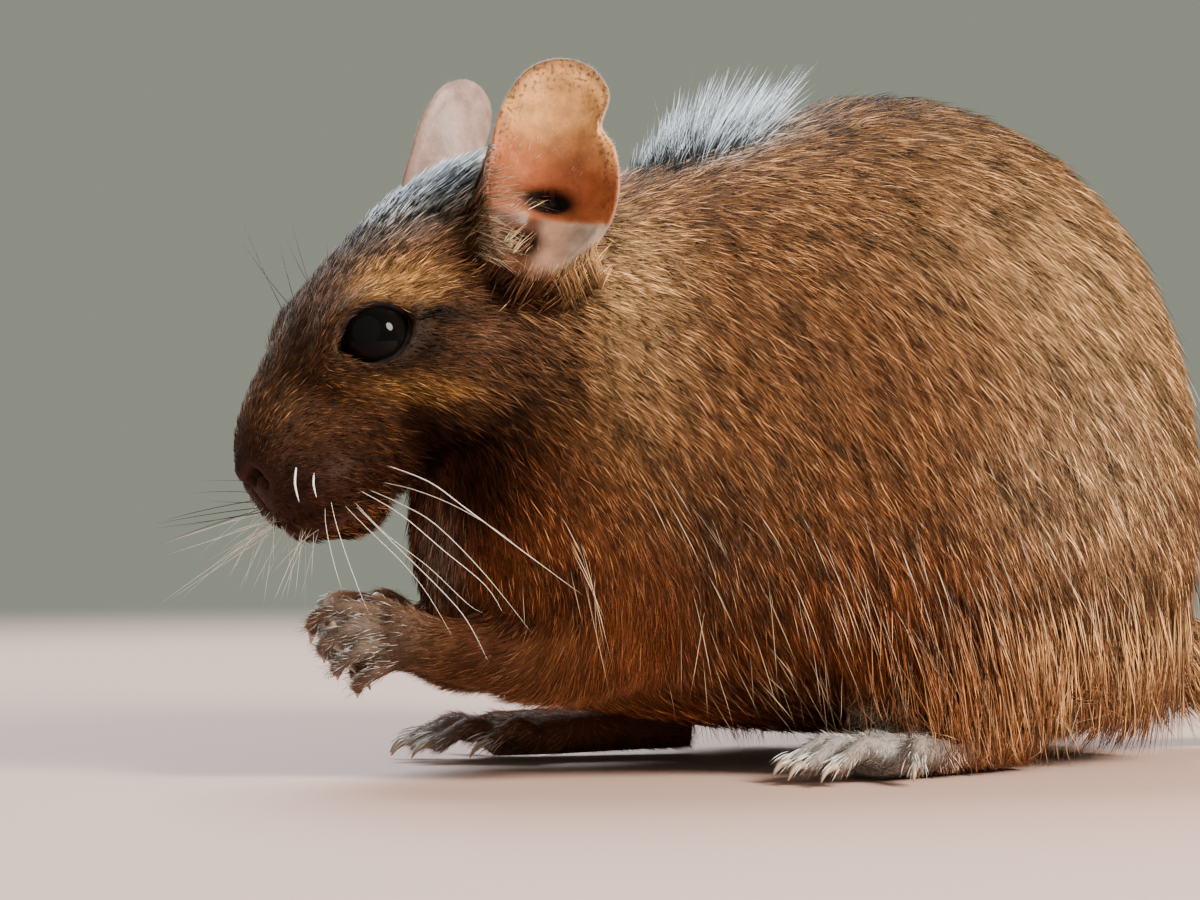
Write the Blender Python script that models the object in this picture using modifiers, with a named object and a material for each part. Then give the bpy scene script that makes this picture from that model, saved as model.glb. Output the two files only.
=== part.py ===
"""A life-size degu, sitting up to eat with its hands under its mouth.

Lengths are in metres, and rows of sizes marked as millimetres are multiplied by MM.
The degu faces -Y, its left side is +X and the floor is Z = 0.
"""

import math
import random

import bmesh
import bpy
from mathutils import Matrix, Vector
from mathutils.bvhtree import BVHTree

MM = 0.001
GAP = 0.3 * MM
SEED = 11

# Trunk, as upright rings from the chest to the rump, in mm:
# distance back, top, height of the widest line, bottom, half width.
TRUNK = [
    (-45.5, 37, 28, 22, 5),
    (-43.5, 45, 27, 17, 12),
    (-39, 56, 25, 10.5, 18.5),
    (-31, 65, 25, 7, 24),
    (-21, 68.5, 25, 5, 27.5),
    (-10, 72.5, 26, 3.4, 30),
    (3, 77, 26, 2.2, 32),
    (16, 77.2, 26, -0.4, 33),
    (27, 73.5, 27, 0.2, 32),
    (36, 66.5, 27, 3, 28.5),
    (42, 57, 28, 6, 22),
    (46, 44, 28, 14, 12),
]

# Head, in its own frame, as rings from the muzzle to the back of the skull, in mm:
# distance back, top, height of the widest line, bottom, half width.
HEAD = [
    (-2.8, -1.0, -4.5, -8.0, 3.0),
    (-1.8, 1.6, -4.5, -10.4, 5.4),
    (0.6, 4.2, -4.5, -12.2, 6.8),
    (4.5, 6.9, -4.2, -13.2, 7.8),
    (10, 9.4, -3.5, -13.6, 9.0),
    (17, 11.8, -2.5, -13.8, 11.0),
    (25, 13.2, -3, -14.4, 13.0),
    (33, 13.3, -3, -15, 13.2),
    (41, 11.5, -3, -15, 12.0),
    (48, 7, -3, -12, 9),
]
HEAD_PITCH = math.radians(37)
NOSE_TIP = Vector((0, -65.6, 35.6)) * MM
HEAD_FRAME = Matrix.Translation(NOSE_TIP) @ Matrix.Rotation(HEAD_PITCH, 4, "X")

# Soft swellings of the head on its left side, in the head's frame, in mm:
# centre across, back and up, then the radii.
HEAD_SWELLINGS = [
    (8.0, 25, -5.5, 7.0, 11, 8.6),
    (4.2, 3.8, -5.6, 4.7, 5.8, 4.4),
    (6.4, 16.4, 3.0, 4.5, 8.5, 6.4),
    (5.4, 41, 2.6, 5.6, 6.0, 7.0),
]
CHIN = (0, 6.0, -11.0, 4.4, 5.2, 3.8)
NOSE_PAD = (0, -1.9, -0.6, 2.4, 1.5, 1.9)

EYE_RADIUS = 4.5 * MM
EYE_CENTRE = Vector((6.9, -54.6, 48.8)) * MM
EYE_LOOKS = Vector((1, -0.30, 0.14)).normalized()
LID_THICKNESS = 0.75 * MM
LID_HALF_LENGTH = 4.7 * MM
LID_HALF_HEIGHT = 3.5 * MM
LID_OPENING_BASE = 1.8 * MM
LID_RISE = math.radians(24)
LID_ROLL = 0.55 * MM

NOSTRIL = (1.5, -3.3, -1.2, 0.6, 1.0, 0.7)
# Line of the mouth from its middle to its left corner, and the cleft above it, in mm in the
# head's frame: across, back, up.
MOUTH = [(0, -2.4, -8.2), (2.6, -1.4, -8.8), (4.8, 1.4, -9.6), (6.2, 5.0, -10.2), (6.8, 8.6, -9.8)]
MOUTH_GROOVE = 0.42 * MM
PHILTRUM = [(0, -3.4, -2.4), (0, -3.4, -5.0), (0, -2.8, -8.2)]
LIP_ROLL = 0.75 * MM
LIP_SPREAD = 1.0

EAR_CENTRE = Vector((15.2, -36.6, 66.8)) * MM
# Rim of the ear in its own plane from the top round the back, in mm: up, back. The step in
# the back edge is the notch between the upper lobe and the lower one.
EAR_RIM = [
    (12.8, -1.2), (12.2, 2.2), (9.9, 4.3), (6.4, 4.1), (3.8, 6.2), (-1.0, 7.4),
    (-6.0, 6.6), (-10.2, 3.6), (-12.0, -0.6), (-9.4, -4.6), (-3.6, -6.7), (2.4, -7.2),
    (7.4, -6.6), (11.2, -4.6),
]
EAR_STEPS = 2
EAR_RINGS = 4
EAR_DEPTH = 3.6 * MM
EAR_BOWL = 1.9
EAR_CANAL_DROP = 4.0 * MM
EAR_THICKNESS = 0.7 * MM
EAR_OPENS = Vector((0.88, -0.42, 0.12)).normalized()
EAR_UP = Vector((0.16, 0.12, 0.98))

# Thigh, in mm: centre, radii, and its lean forwards.
THIGH_CENTRE = Vector((20, 13, 25.5)) * MM
THIGH_RADII = Vector((13.4, 25, 20)) * MM
THIGH_SEAM = 1.2 * MM
THIGH_LEAN = math.radians(35)
RIGHT_THIGH_FORWARD = 9 * MM

# Arm of the left side, as rows of x, y, z, half width and half height, in mm.
ARM = [
    (16, -24, 27, 7.5, 8.5),
    (16, -28.5, 17.5, 6.6, 7.6),
    (13, -36, 13, 5.0, 5.6),
    (8.6, -44.5, 14.2, 3.7, 4.1),
    (6.2, -49.5, 15.4, 3.2, 3.6),
    (5.2, -53, 15.9, 2.8, 3.2),
]
ARM_SEAM = 0.9
WRIST = Vector((6.3, -49.2, 15.3)) * MM
WRIST_NORMAL = Vector((-0.38, -0.90, 0.14)).normalized()
PALM = [
    (6.9, -47.4, 15.0, 2.6, 3.3),
    (6.5, -50.6, 15.7, 2.6, 3.8),
    (6.1, -53.4, 16.0, 2.2, 3.9),
]
# Fingers of the left hand from the first to the last, each as points of x, y, z, in mm.
FINGERS = [
    [(5.8, -52.6, 18.3), (5.4, -57.0, 19.0), (3.2, -59.6, 17.9), (1.4, -59.4, 16.2)],
    [(6.5, -52.8, 16.6), (6.6, -57.0, 16.7), (4.6, -59.0, 15.1), (2.5, -58.4, 13.9)],
    [(6.5, -52.4, 14.8), (6.7, -56.0, 14.4), (4.9, -57.6, 13.0), (3.0, -57.1, 12.1)],
    [(6.1, -51.4, 13.3), (6.2, -54.0, 12.3), (5.0, -55.3, 10.9), (3.7, -55.0, 10.2)],
]
THUMB = [(4.6, -50.6, 18.4), (3.4, -52.8, 19.4), (2.3, -54.0, 19.3)]
FINGER_RADIUS = 1.25
THUMB_SHARE = 0.8
FINGER_TAPER = (1.05, 1.0, 0.9, 0.8)
FINGER_CLAW = 1.7
FINGER_CLAW_RADII = (0.62, 0.2)
CLAW_SUNK = 0.6
HAND_BLOCK = 9 * MM
WRIST_BLOCK = 4.1 * MM
RIGHT_HAND_MOVES = Vector((1.6, 2.8, 0.6)) * MM

# Foot of the left side with its toes at -Y and its outer side at +X, in mm from its ball.
SOLE = [
    (0, 23, 4.2, 3.4, 3.8),
    (0, 15, 3.2, 3.8, 3.2),
    (0, 6, 2.9, 4.6, 3.0),
    (0, -1, 2.7, 4.9, 2.8),
]
# Toes, in mm: root across, root back, length, and the turn outwards in degrees.
TOES = [
    (-4.2, 2.5, 5.4, -10),
    (-2.9, -1.6, 7.6, -4),
    (0, -2.2, 8.2, 2),
    (2.9, -1.6, 7.8, 9),
    (4.2, 3.4, 6.4, 42),
]
SOLE_ROOM = 0.35
TOE_RADIUS = 1.5
# A toe and its claw in side view: share of the toe's length, height in mm, radius. The
# toe's radius is a share of TOE_RADIUS and the claw's is in mm.
TOE_ARCH = [(-0.15, 2.8, 1.1), (0.3, 4.1, 1.05), (0.7, 3.2, 0.9), (1.0, 1.5, 0.8)]
CLAW_ARCH = [(0.92, 1.9, 0.62), (1.12, 1.9, 0.5)]
CLAW_END = (2.6, 0.5, 0.22)
FEET = {"left": (25.2, -2.5, 17), "right": (-18.5, -29.5, -4)}

# Tail, as rows of x, y, z, half width and half height, in mm.
TAIL = [
    (0, 33, 22, 9, 9),
    (0, 43, 15.5, 6.0, 6.0),
    (-1, 53, 9.4, 5.0, 4.9),
    (-3, 65, 5.0, 4.3, 4.6),
    (-8, 80, 3.9, 3.8, 4.0),
    (-17, 95, 3.5, 3.4, 3.6),
    (-30, 108, 3.3, 3.0, 3.3),
    (-45, 117, 3.4, 2.5, 2.7),
    (-57, 121, 3.8, 1.8, 1.8),
]
# Seams across the tail, in mm: a point and the way the tail runs there.
TAIL_CUTS = [
    ((0, 48.5, 12.5), (0, 0.88, -0.48)),
    ((-5.2, 72.5, 4.3), (-0.28, 0.96, 0)),
    ((-22, 101, 3.4), (-0.72, 0.69, 0)),
]
TAIL_CUT_HALF = 8
BRUSH_STEPS = 7
BRUSH_RINGS = 5
BRUSH_ROUND = 7
BRUSH_LENGTH = 12 * MM
BRUSH_ROOT = 1.1 * MM
BRUSH_WIDTH = 1.0 * MM
BRUSH_SPREAD = 0.26
BRUSH_SPREAD_BELOW = 0.05
CREST_ROWS = 6
CREST_ACROSS = 3
CREST_SPACING = 2.6
CREST_FRONT = -19
CREST_LENGTH = 9 * MM
CREST_WIDTH = 0.8 * MM

# Lines in side view that part the head from the neck and the neck from the trunk, in mm.
HEAD_LINE = [(-22, 90), (-31.5, 62), (-35.5, 45), (-40, 33), (-47, 25.5), (-60, 21.5), (-90, 18)]
NECK_LINE = [(-12, 90), (-22, 62), (-27, 45), (-34, 30), (-46, 23.2), (-60, 19), (-90, 15)]

FLESH_VOXEL = 0.5 * MM
FINE_VOXEL = 0.34 * MM

HEAD_MIDDLE = (0, -50, 46)
BODY_NODES = {
    "neck": (0, -31, 45),
    "torso": (0, 8, 40),
    "thigh_left": (20, 13, 25),
    "thigh_right": (-20, 4, 25),
    "foreleg_left": (13, -34, 17),
    "foreleg_right": (-13, -33, 17),
    "tail_base": (-2, 60, 8),
    "tail_middle": (-12, 88, 4),
    "tail_tip": (-42, 113, 3.5),
}
FINE_TRIANGLES = 5200
BODY_TRIANGLES = 2900
LIMB_END_TRIANGLES = 840
LOCK_SIDES = 5
# Sections of a lock: share of its length, then its width and thickness as shares of the width.
LOCK_SECTIONS = [(-0.12, 0.8, 0.5), (0.15, 1.0, 0.55), (0.55, 0.75, 0.45), (1.0, 0.16, 0.16)]

COAT_BROWN = (0.20, 0.105, 0.045)
FACE_BROWN = (0.10, 0.055, 0.03)
EAR_SKIN = (0.42, 0.20, 0.12)
HAND_GREY = (0.15, 0.11, 0.09)
FOOT_SILVER = (0.46, 0.43, 0.40)
TAIL_BROWN = (0.13, 0.08, 0.05)
BRUSH_BLACK = (0.02, 0.017, 0.015)
EYE_BLACK = (0.006, 0.005, 0.005)
FINISHES = {
    "head": (FACE_BROWN, 0.8),
    "neck": (COAT_BROWN, 0.8),
    "torso": (COAT_BROWN, 0.8),
    "thigh": (COAT_BROWN, 0.8),
    "foreleg": (COAT_BROWN, 0.8),
    "ear": (EAR_SKIN, 0.55),
    "eye": (EYE_BLACK, 0.08),
    "hand": (HAND_GREY, 0.7),
    "foot": (FOOT_SILVER, 0.7),
    "tail_tip": (BRUSH_BLACK, 0.8),
    "tail": (TAIL_BROWN, 0.8),
}


def smooth_rows(rows, steps):
    """The rows with steps - 1 more between each pair, on a Catmull-Rom curve through them."""
    smooth = []
    for i in range(len(rows) - 1):
        around = rows[max(i - 1, 0)], rows[i], rows[i + 1], rows[min(i + 2, len(rows) - 1)]
        for step in range(steps):
            t = step / steps
            row = []
            for a, b, c, d in zip(*around):
                bend = 2 * a - 5 * b + 4 * c - d
                twist = 3 * b - a - 3 * c + d
                row.append(b + 0.5 * ((c - a) * t + bend * t * t + twist * t**3))
            smooth.append(tuple(row))
    smooth.append(tuple(rows[-1]))
    return smooth


def closed_rows(rows, steps):
    """The same for rows that run round in a loop."""
    return smooth_rows([rows[-1], *rows, rows[0], rows[1]], steps)[steps : -steps - 1]


def mesh_object(name, bm):
    """A new object from a bmesh, with its faces turned outwards."""
    bmesh.ops.recalc_face_normals(bm, faces=bm.faces)
    if bm.calc_volume(signed=True) < 0:
        bmesh.ops.reverse_faces(bm, faces=bm.faces)
    mesh = bpy.data.meshes.new(name)
    bm.to_mesh(mesh)
    bm.free()
    obj = bpy.data.objects.new(name, mesh)
    bpy.context.scene.collection.objects.link(obj)
    return obj


def skin_rings(name, rings):
    """One closed form through rings of equal counts, with a fan over each end."""
    bm = bmesh.new()
    loops = [[bm.verts.new(point) for point in ring] for ring in rings]
    sides = len(rings[0])
    for near, far in zip(loops, loops[1:]):
        for i in range(sides):
            j = (i + 1) % sides
            bm.faces.new((near[i], near[j], far[j], far[i]))
    for loop in (loops[0], loops[-1]):
        middle = bm.verts.new(sum((v.co for v in loop), Vector()) / sides)
        for i in range(sides):
            bm.faces.new((loop[i], loop[(i + 1) % sides], middle))
    return mesh_object(name, bm)


def hull(name, stations, sides=36, steps=4):
    """A form lofted along Y through upright oval rings, from stations in mm."""
    rings = []
    for back, top, widest, bottom, half in smooth_rows(stations, steps):
        ring = []
        for i in range(sides):
            angle = math.tau * i / sides
            reach = top - widest if math.sin(angle) > 0 else widest - bottom
            ring.append(Vector((half * math.cos(angle), back, widest + reach * math.sin(angle))) * MM)
        rings.append(ring)
    return skin_rings(name, rings)


def limb(name, path, sides=12, steps=4, pointed=False):
    """A form along a bent path of rows (x, y, z, half width, half height), in mm."""
    rows = smooth_rows(path, steps)
    points = [Vector(row[:3]) * MM for row in rows]
    round_end = [(0, 1), (0.55, 0.85), (0.9, 0.45)]
    rings = []
    for i, row in enumerate(rows):
        along = (points[min(i + 1, len(points) - 1)] - points[max(i - 1, 0)]).normalized()
        side = along.cross(Vector((0, 0, 1))).normalized()
        rise = side.cross(along)
        width, height = row[3] * MM, row[4] * MM
        caps = [(0, 1)]
        if i == 0:
            caps = [(-depth * min(width, height), share) for depth, share in round_end[::-1]]
        elif i == len(rows) - 1 and not pointed:
            caps = [(depth * min(width, height), share) for depth, share in round_end]
        for offset, share in caps:
            ring = []
            for k in range(sides):
                turn = math.tau * k / sides
                spoke = side * (width * math.cos(turn)) + rise * (height * math.sin(turn))
                ring.append(points[i] + along * offset + spoke * share)
            rings.append(ring)
    return skin_rings(name, rings)


def tube(name, points, radii, sides=10, steps=4, pointed=False):
    """A round form along points in mm, with a radius at each in mm."""
    path = [(*point, radius, radius) for point, radius in zip(points, radii)]
    return limb(name, path, sides, steps, pointed)


def ball(name, centre, radii, turn=None, segments=24, rings=14):
    """An ellipsoid at centre, with its radii along the axes of turn."""
    turn = turn or Matrix.Identity(3)
    place = Matrix.Translation(centre) @ turn.to_4x4() @ Matrix.Diagonal((*radii, 1))
    bm = bmesh.new()
    bmesh.ops.create_uvsphere(bm, u_segments=segments, v_segments=rings, radius=1, matrix=place)
    return mesh_object(name, bm)


def sphere(name, centre, radius, segments=18, rings=11):
    """A sphere at centre."""
    return ball(name, centre, (radius, radius, radius), None, segments, rings)


def in_head(point, side=1):
    """A point in the world, from mm in the head's frame on its left side or mirrored."""
    return HEAD_FRAME @ (Vector((side * point[0], point[1], point[2])) * MM)


def swelling(name, sizes, side=1):
    """An ellipsoid of the head, from its sizes in the head's frame."""
    return ball(name, in_head(sizes[:3], side), Vector(sizes[3:]) * MM, HEAD_FRAME.to_3x3())


def flipped(path, side):
    """A path of rows that start with x, kept on the left or mirrored to the right."""
    return [(side * row[0], *row[1:]) for row in path]


def on_side(vector, side):
    """A vector on the left side, or mirrored to the right."""
    return Vector((side * vector.x, vector.y, vector.z))


def applied(obj):
    """The object with its modifiers made part of its mesh."""
    bpy.context.view_layer.update()
    graph = bpy.context.evaluated_depsgraph_get()
    mesh = bpy.data.meshes.new_from_object(obj.evaluated_get(graph))
    obj.modifiers.clear()
    obj.data = mesh
    return obj


def copy_of(obj, name="cutter"):
    """A separate object with a copy of the mesh."""
    copy = bpy.data.objects.new(name, obj.data.copy())
    bpy.context.scene.collection.objects.link(copy)
    return copy


def melted(name, pieces, voxel, easing):
    """The pieces as one closed surface, with the creases between them eased."""
    bm = bmesh.new()
    for piece in pieces:
        bm.from_mesh(piece.data)
        bpy.data.objects.remove(piece)
    obj = mesh_object(name, bm)
    remesh = obj.modifiers.new("one surface", "REMESH")
    remesh.mode = "VOXEL"
    remesh.voxel_size = voxel
    ease = obj.modifiers.new("eased creases", "SMOOTH")
    ease.factor = 0.5
    ease.iterations = easing
    return applied(obj)


def triangle_count(obj):
    """How many triangles the mesh has."""
    return sum(len(face.vertices) - 2 for face in obj.data.polygons)


def thinned(obj, triangles):
    """The object with about this many triangles."""
    fewer = obj.modifiers.new("fewer faces", "DECIMATE")
    fewer.ratio = min(1.0, triangles / triangle_count(obj))
    return applied(obj)


def grown(obj, by):
    """A copy of the object, swollen along its normals."""
    copy = copy_of(obj)
    swell = copy.modifiers.new("swollen", "DISPLACE")
    swell.strength = by
    swell.mid_level = 0
    return applied(copy)


def seam_round(form):
    """The form turned into a hollow wall as thick as the gap between nodes."""
    wall = form.modifiers.new("wall", "SOLIDIFY")
    wall.thickness = GAP
    wall.offset = 0
    return applied(form)


def seam_plate(centre, normal, half_size):
    """A square plate as thick as the gap between nodes, from mm."""
    bm = bmesh.new()
    bmesh.ops.create_cube(bm, size=1)
    turn = Vector(normal).to_track_quat("Z", "Y").to_matrix().to_4x4()
    size = Matrix.Diagonal((2 * half_size * MM, 2 * half_size * MM, GAP, 1))
    bm.transform(Matrix.Translation(Vector(centre) * MM) @ turn @ size)
    return mesh_object("seam", bm)


def seam_sheet(line, half_width=50):
    """A bent wall across the animal as thick as the gap, along (y, z) points in mm."""
    bm = bmesh.new()
    rows = [[bm.verts.new(Vector((x, y, z)) * MM) for y, z in line] for x in (-half_width, half_width)]
    for i in range(len(line) - 1):
        bm.faces.new((rows[0][i], rows[0][i + 1], rows[1][i + 1], rows[1][i]))
    return seam_round(mesh_object("seam", bm))


def combined(obj, operation, others, solver="EXACT"):
    """The object after one Boolean with all the others, which are then removed."""
    tools = bpy.data.collections.new("tools")
    bpy.context.scene.collection.children.link(tools)
    for other in others:
        bpy.context.scene.collection.objects.unlink(other)
        tools.objects.link(other)
    boolean = obj.modifiers.new(operation.lower(), "BOOLEAN")
    boolean.operation = operation
    boolean.operand_type = "COLLECTION"
    boolean.collection = tools
    boolean.solver = solver
    applied(obj)
    for other in list(tools.objects):
        bpy.data.objects.remove(other)
    bpy.data.collections.remove(tools)
    return obj


def shells(bm):
    """The connected surfaces of a bmesh, as lists of faces."""
    left = set(bm.faces)
    found = []
    while left:
        edge = [left.pop()]
        shell = list(edge)
        while edge:
            for line in edge.pop().edges:
                for other in line.link_faces:
                    if other in left:
                        left.discard(other)
                        edge.append(other)
                        shell.append(other)
        found.append(shell)
    return found


def middle_of(shell):
    """The middle of the area of a list of faces."""
    area = sum(face.calc_area() for face in shell)
    return sum((face.calc_center_median() * face.calc_area() for face in shell), Vector()) / area


def one_body(obj, name, landmark=None):
    """A new object with one closed surface: the largest, or the large one nearest a landmark in mm."""
    bm = bmesh.new()
    bm.from_mesh(obj.data)
    found = shells(bm)
    chosen = max(found, key=len)
    if landmark is not None:
        large = [shell for shell in found if len(shell) > 60]
        chosen = min(large, key=lambda shell: (middle_of(shell) - Vector(landmark) * MM).length)
    keep = set(chosen)
    bmesh.ops.delete(bm, geom=[face for face in bm.faces if face not in keep], context="FACES")
    bmesh.ops.triangulate(bm, faces=bm.faces)
    return mesh_object(name, bm)


def kept(obj, name):
    """The object's largest closed surface alone, under a new name."""
    obj.name = "uncut"
    body = one_body(obj, name)
    bpy.data.objects.remove(obj)
    return body


def eye_frame(side):
    """The matrix of an eye: its centre, its length, its height and the way it looks."""
    looks = on_side(EYE_LOOKS, side)
    level = Vector((0, 1, 0)) - looks * looks.y
    level.normalize()
    upright = looks.cross(level) * side
    upright = upright if upright.z > 0 else -upright
    length = level * math.cos(LID_RISE) + upright * math.sin(LID_RISE)
    height = upright * math.cos(LID_RISE) - level * math.sin(LID_RISE)
    centre = on_side(EYE_CENTRE, side)
    return Matrix.Translation(centre) @ Matrix((length, height, looks)).transposed().to_4x4()


def lid_line(side, reach, share=1.0, count=24):
    """Points round the eye's opening, on a sphere of radius reach about the eye."""
    points = []
    for i in range(count):
        angle = math.tau * i / count
        along = LID_HALF_LENGTH * share * math.cos(angle)
        pinch = 1 - 0.35 * abs(math.cos(angle)) ** 3
        up = LID_HALF_HEIGHT * share * math.sin(angle) * pinch
        out = math.sqrt(max(reach**2 - along**2 - up**2, 0.0))
        points.append(eye_frame(side) @ Vector((along, up, out)))
    return points


def ring_tube(name, points, radius, sides=8):
    """A closed tube round a loop of points."""
    bm = bmesh.new()
    count = len(points)
    middle = sum(points, Vector()) / count
    loops = []
    for i, point in enumerate(points):
        along = (points[(i + 1) % count] - points[i - 1]).normalized()
        outward = (point - middle).cross(along).normalized()
        inward = outward.cross(along)
        loop = []
        for k in range(sides):
            turn = math.tau * k / sides
            spoke = outward * math.cos(turn) + inward * math.sin(turn)
            loop.append(bm.verts.new(point + spoke * radius))
        loops.append(loop)
    for i in range(count):
        near, far = loops[i], loops[(i + 1) % count]
        for k in range(sides):
            n = (k + 1) % sides
            bm.faces.new((near[k], near[n], far[n], far[k]))
    return mesh_object(name, bm)


def lid_opening(side):
    """The cutter of the eye's opening: an almond block from inside the eye out past the lids."""
    inner = [point for point in lid_line(side, LID_HALF_LENGTH)]
    looks = on_side(EYE_LOOKS, side)
    base = eye_frame(side).translation
    flat = [point - looks * (point - base).dot(looks) for point in inner]
    near = [point + looks * LID_OPENING_BASE for point in flat]
    far = [point + looks * (EYE_RADIUS + 4 * MM) for point in flat]
    return skin_rings("opening", [near, far])


def on_skin(tree, points, side, lift=0.0):
    """Points of the head's frame moved to the skin along the line to its core, then lifted, in mm."""
    moved = []
    for x, back, up in points:
        start = in_head((x * 2.5, back - 7, -4 + (up + 4) * 2.2), side)
        core = in_head((0, max(back, 3), -4), side)
        hit = tree.ray_cast(start, (core - start).normalized())
        spot = hit[0] + hit[1] * (lift * MM)
        moved.append(tuple(spot / MM))
    return moved


def head_forms():
    """The forms that melt into the head."""
    form = hull("skull", HEAD)
    form.data.transform(HEAD_FRAME)
    forms = [form, swelling("chin", CHIN), swelling("nose_pad", NOSE_PAD)]
    for side in (1, -1):
        forms += [swelling("swelling", sizes, side) for sizes in HEAD_SWELLINGS]
        forms.append(sphere("lids", on_side(EYE_CENTRE, side), EYE_RADIUS + LID_THICKNESS))
        forms.append(ring_tube("lid_roll", lid_line(side, EYE_RADIUS + LID_THICKNESS, 1.12), LID_ROLL))
    return forms


def mouth_tubes(tree, lift, radius, shift=0.0):
    """Tubes along the line of the mouth on both sides, from mm."""
    tubes = []
    for side in (1, -1):
        line = [(x, back, up + shift) for x, back, up in MOUTH]
        radii = [radius * 0.8] + [radius] * (len(line) - 2) + [radius * 0.4]
        tubes.append(tube("mouth", on_skin(tree, line, side, lift), radii, 8))
    return tubes


def surface_of(obj):
    """A tree of the object's faces, for finding points on its skin."""
    bm = bmesh.new()
    bm.from_mesh(obj.data)
    tree = BVHTree.FromBMesh(bm)
    bm.free()
    return tree


def ear(word, side, head):
    """One ear: a thin cup with an oval rim, notched at the back and deepest at its canal."""
    opens = on_side(EAR_OPENS, side)
    up = on_side(EAR_UP, side)
    up = (up - opens * up.dot(opens)).normalized()
    back = opens.cross(up)
    back = back if back.y > 0 else -back
    centre = on_side(EAR_CENTRE, side)
    outline = [up * (high * MM) + back * (behind * MM) for high, behind in closed_rows(EAR_RIM, EAR_STEPS)]
    bm = bmesh.new()
    middle = bm.verts.new(centre - up * EAR_CANAL_DROP - opens * EAR_DEPTH)
    loops = []
    for ring in range(1, EAR_RINGS + 1):
        share = ring / EAR_RINGS
        core = centre - up * (EAR_CANAL_DROP * (1 - share)) + opens * (EAR_DEPTH * (share**EAR_BOWL - 1))
        loops.append([bm.verts.new(core + rim * share) for rim in outline])
    for i in range(len(outline)):
        j = (i + 1) % len(outline)
        bm.faces.new((middle, loops[0][i], loops[0][j]))
        for near, far in zip(loops, loops[1:]):
            bm.faces.new((near[i], far[i], far[j], near[j]))
    cup = mesh_object("cup", bm)
    thick = cup.modifiers.new("thickness", "SOLIDIFY")
    thick.thickness = EAR_THICKNESS
    thick.offset = 0
    combined(applied(cup), "DIFFERENCE", [grown(head, GAP)])
    return kept(cup, "ear_" + word)


def hand(word, side):
    """One hand: a palm with four bent fingers, a thumb and their claws, closed at the wrist."""
    forms = [limb("palm", flipped(PALM, side), 14)]
    for digit in FINGERS + [THUMB]:
        points = flipped(digit, side)
        root = FINGER_RADIUS if digit is not THUMB else FINGER_RADIUS * THUMB_SHARE
        radii = [root * share for share in FINGER_TAPER[: len(points)]]
        forms.append(tube("finger", points, radii))
        tip, before = Vector(points[-1]), Vector(points[-2])
        ahead = (tip - before).normalized()
        claw = [tuple(tip - ahead * CLAW_SUNK), tuple(tip + ahead * FINGER_CLAW)]
        forms.append(tube("claw", claw, FINGER_CLAW_RADII, 8))
    whole = thinned(melted("hand", forms, FINE_VOXEL, 3), LIMB_END_TRIANGLES)
    block = half_space(on_side(WRIST, side), -on_side(WRIST_NORMAL, side), HAND_BLOCK)
    combined(whole, "DIFFERENCE", [block])
    if side < 0:
        whole.data.transform(Matrix.Translation(RIGHT_HAND_MOVES))
    return kept(whole, "hand_" + word)


def half_space(point, towards, size):
    """A block that begins at point, plus half the gap, and goes on the way of towards."""
    bm = bmesh.new()
    bmesh.ops.create_cube(bm, size=1)
    turn = towards.to_track_quat("Z", "Y").to_matrix().to_4x4()
    place = Matrix.Translation(point - towards * (GAP / 2)) @ turn @ Matrix.Translation((0, 0, size))
    bm.transform(place @ Matrix.Scale(2 * size, 4))
    return mesh_object("block", bm)


def foot_place(word):
    """Where a foot stands and the way it points."""
    x, y, turn = FEET[word]
    return Matrix.Translation(Vector((x, y, 0)) * MM) @ Matrix.Rotation(math.radians(turn), 4, "Z")


def sole_room(word):
    """The form of a sole with room round it, to cut from the flesh above."""
    path = [(x, y, z, width + SOLE_ROOM, height + SOLE_ROOM) for x, y, z, width, height in SOLE]
    room = limb("sole_room", path, 12, 2)
    room.data.transform(foot_place(word))
    return room


def foot(word, side):
    """One foot: a long sole, five toes and their claws, flat where they rest on the floor."""
    forms = [limb("sole", flipped(SOLE, side), 14)]
    for across, back, length, splay in TOES:
        forward = Vector((math.sin(math.radians(splay)), -math.cos(math.radians(splay)), 0))
        root = Vector((across, back, 0))
        points = [tuple(root + forward * (length * ahead) + Vector((0, 0, z))) for ahead, z, _ in TOE_ARCH]
        radii = [TOE_RADIUS * share for _, _, share in TOE_ARCH]
        forms.append(tube("toe", flipped(points, side), radii))
        claw = CLAW_ARCH + [(1.0 + CLAW_END[0] / length, *CLAW_END[1:])]
        points = [tuple(root + forward * (length * ahead) + Vector((0, 0, z))) for ahead, z, _ in claw]
        forms.append(tube("claw", flipped(points, side), [radius for _, _, radius in claw], 8))
    whole = thinned(melted("foot", forms, FINE_VOXEL, 3), LIMB_END_TRIANGLES)
    whole.data.transform(foot_place(word))
    combined(whole, "DIFFERENCE", [floor_block()])
    return kept(whole, "foot_" + word)


def floor_block():
    """A block below the floor, to cut the flats that the model rests on."""
    bm = bmesh.new()
    bmesh.ops.create_cube(bm, size=1)
    bm.transform(Matrix.Translation((0, 0.02, -0.02)) @ Matrix.Diagonal((0.3, 0.4, 0.04, 1)))
    return mesh_object("block", bm)


def thigh(side, extra=0.0):
    """The form of one thigh, grown by extra."""
    centre = on_side(THIGH_CENTRE, side)
    if side < 0:
        centre.y -= RIGHT_THIGH_FORWARD
    radii = THIGH_RADII + Vector((extra, extra, extra))
    sides = 20 if extra else 40
    return ball("thigh", centre, radii, Matrix.Rotation(THIGH_LEAN, 3, "X"), sides, sides // 2 + 2)


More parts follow.
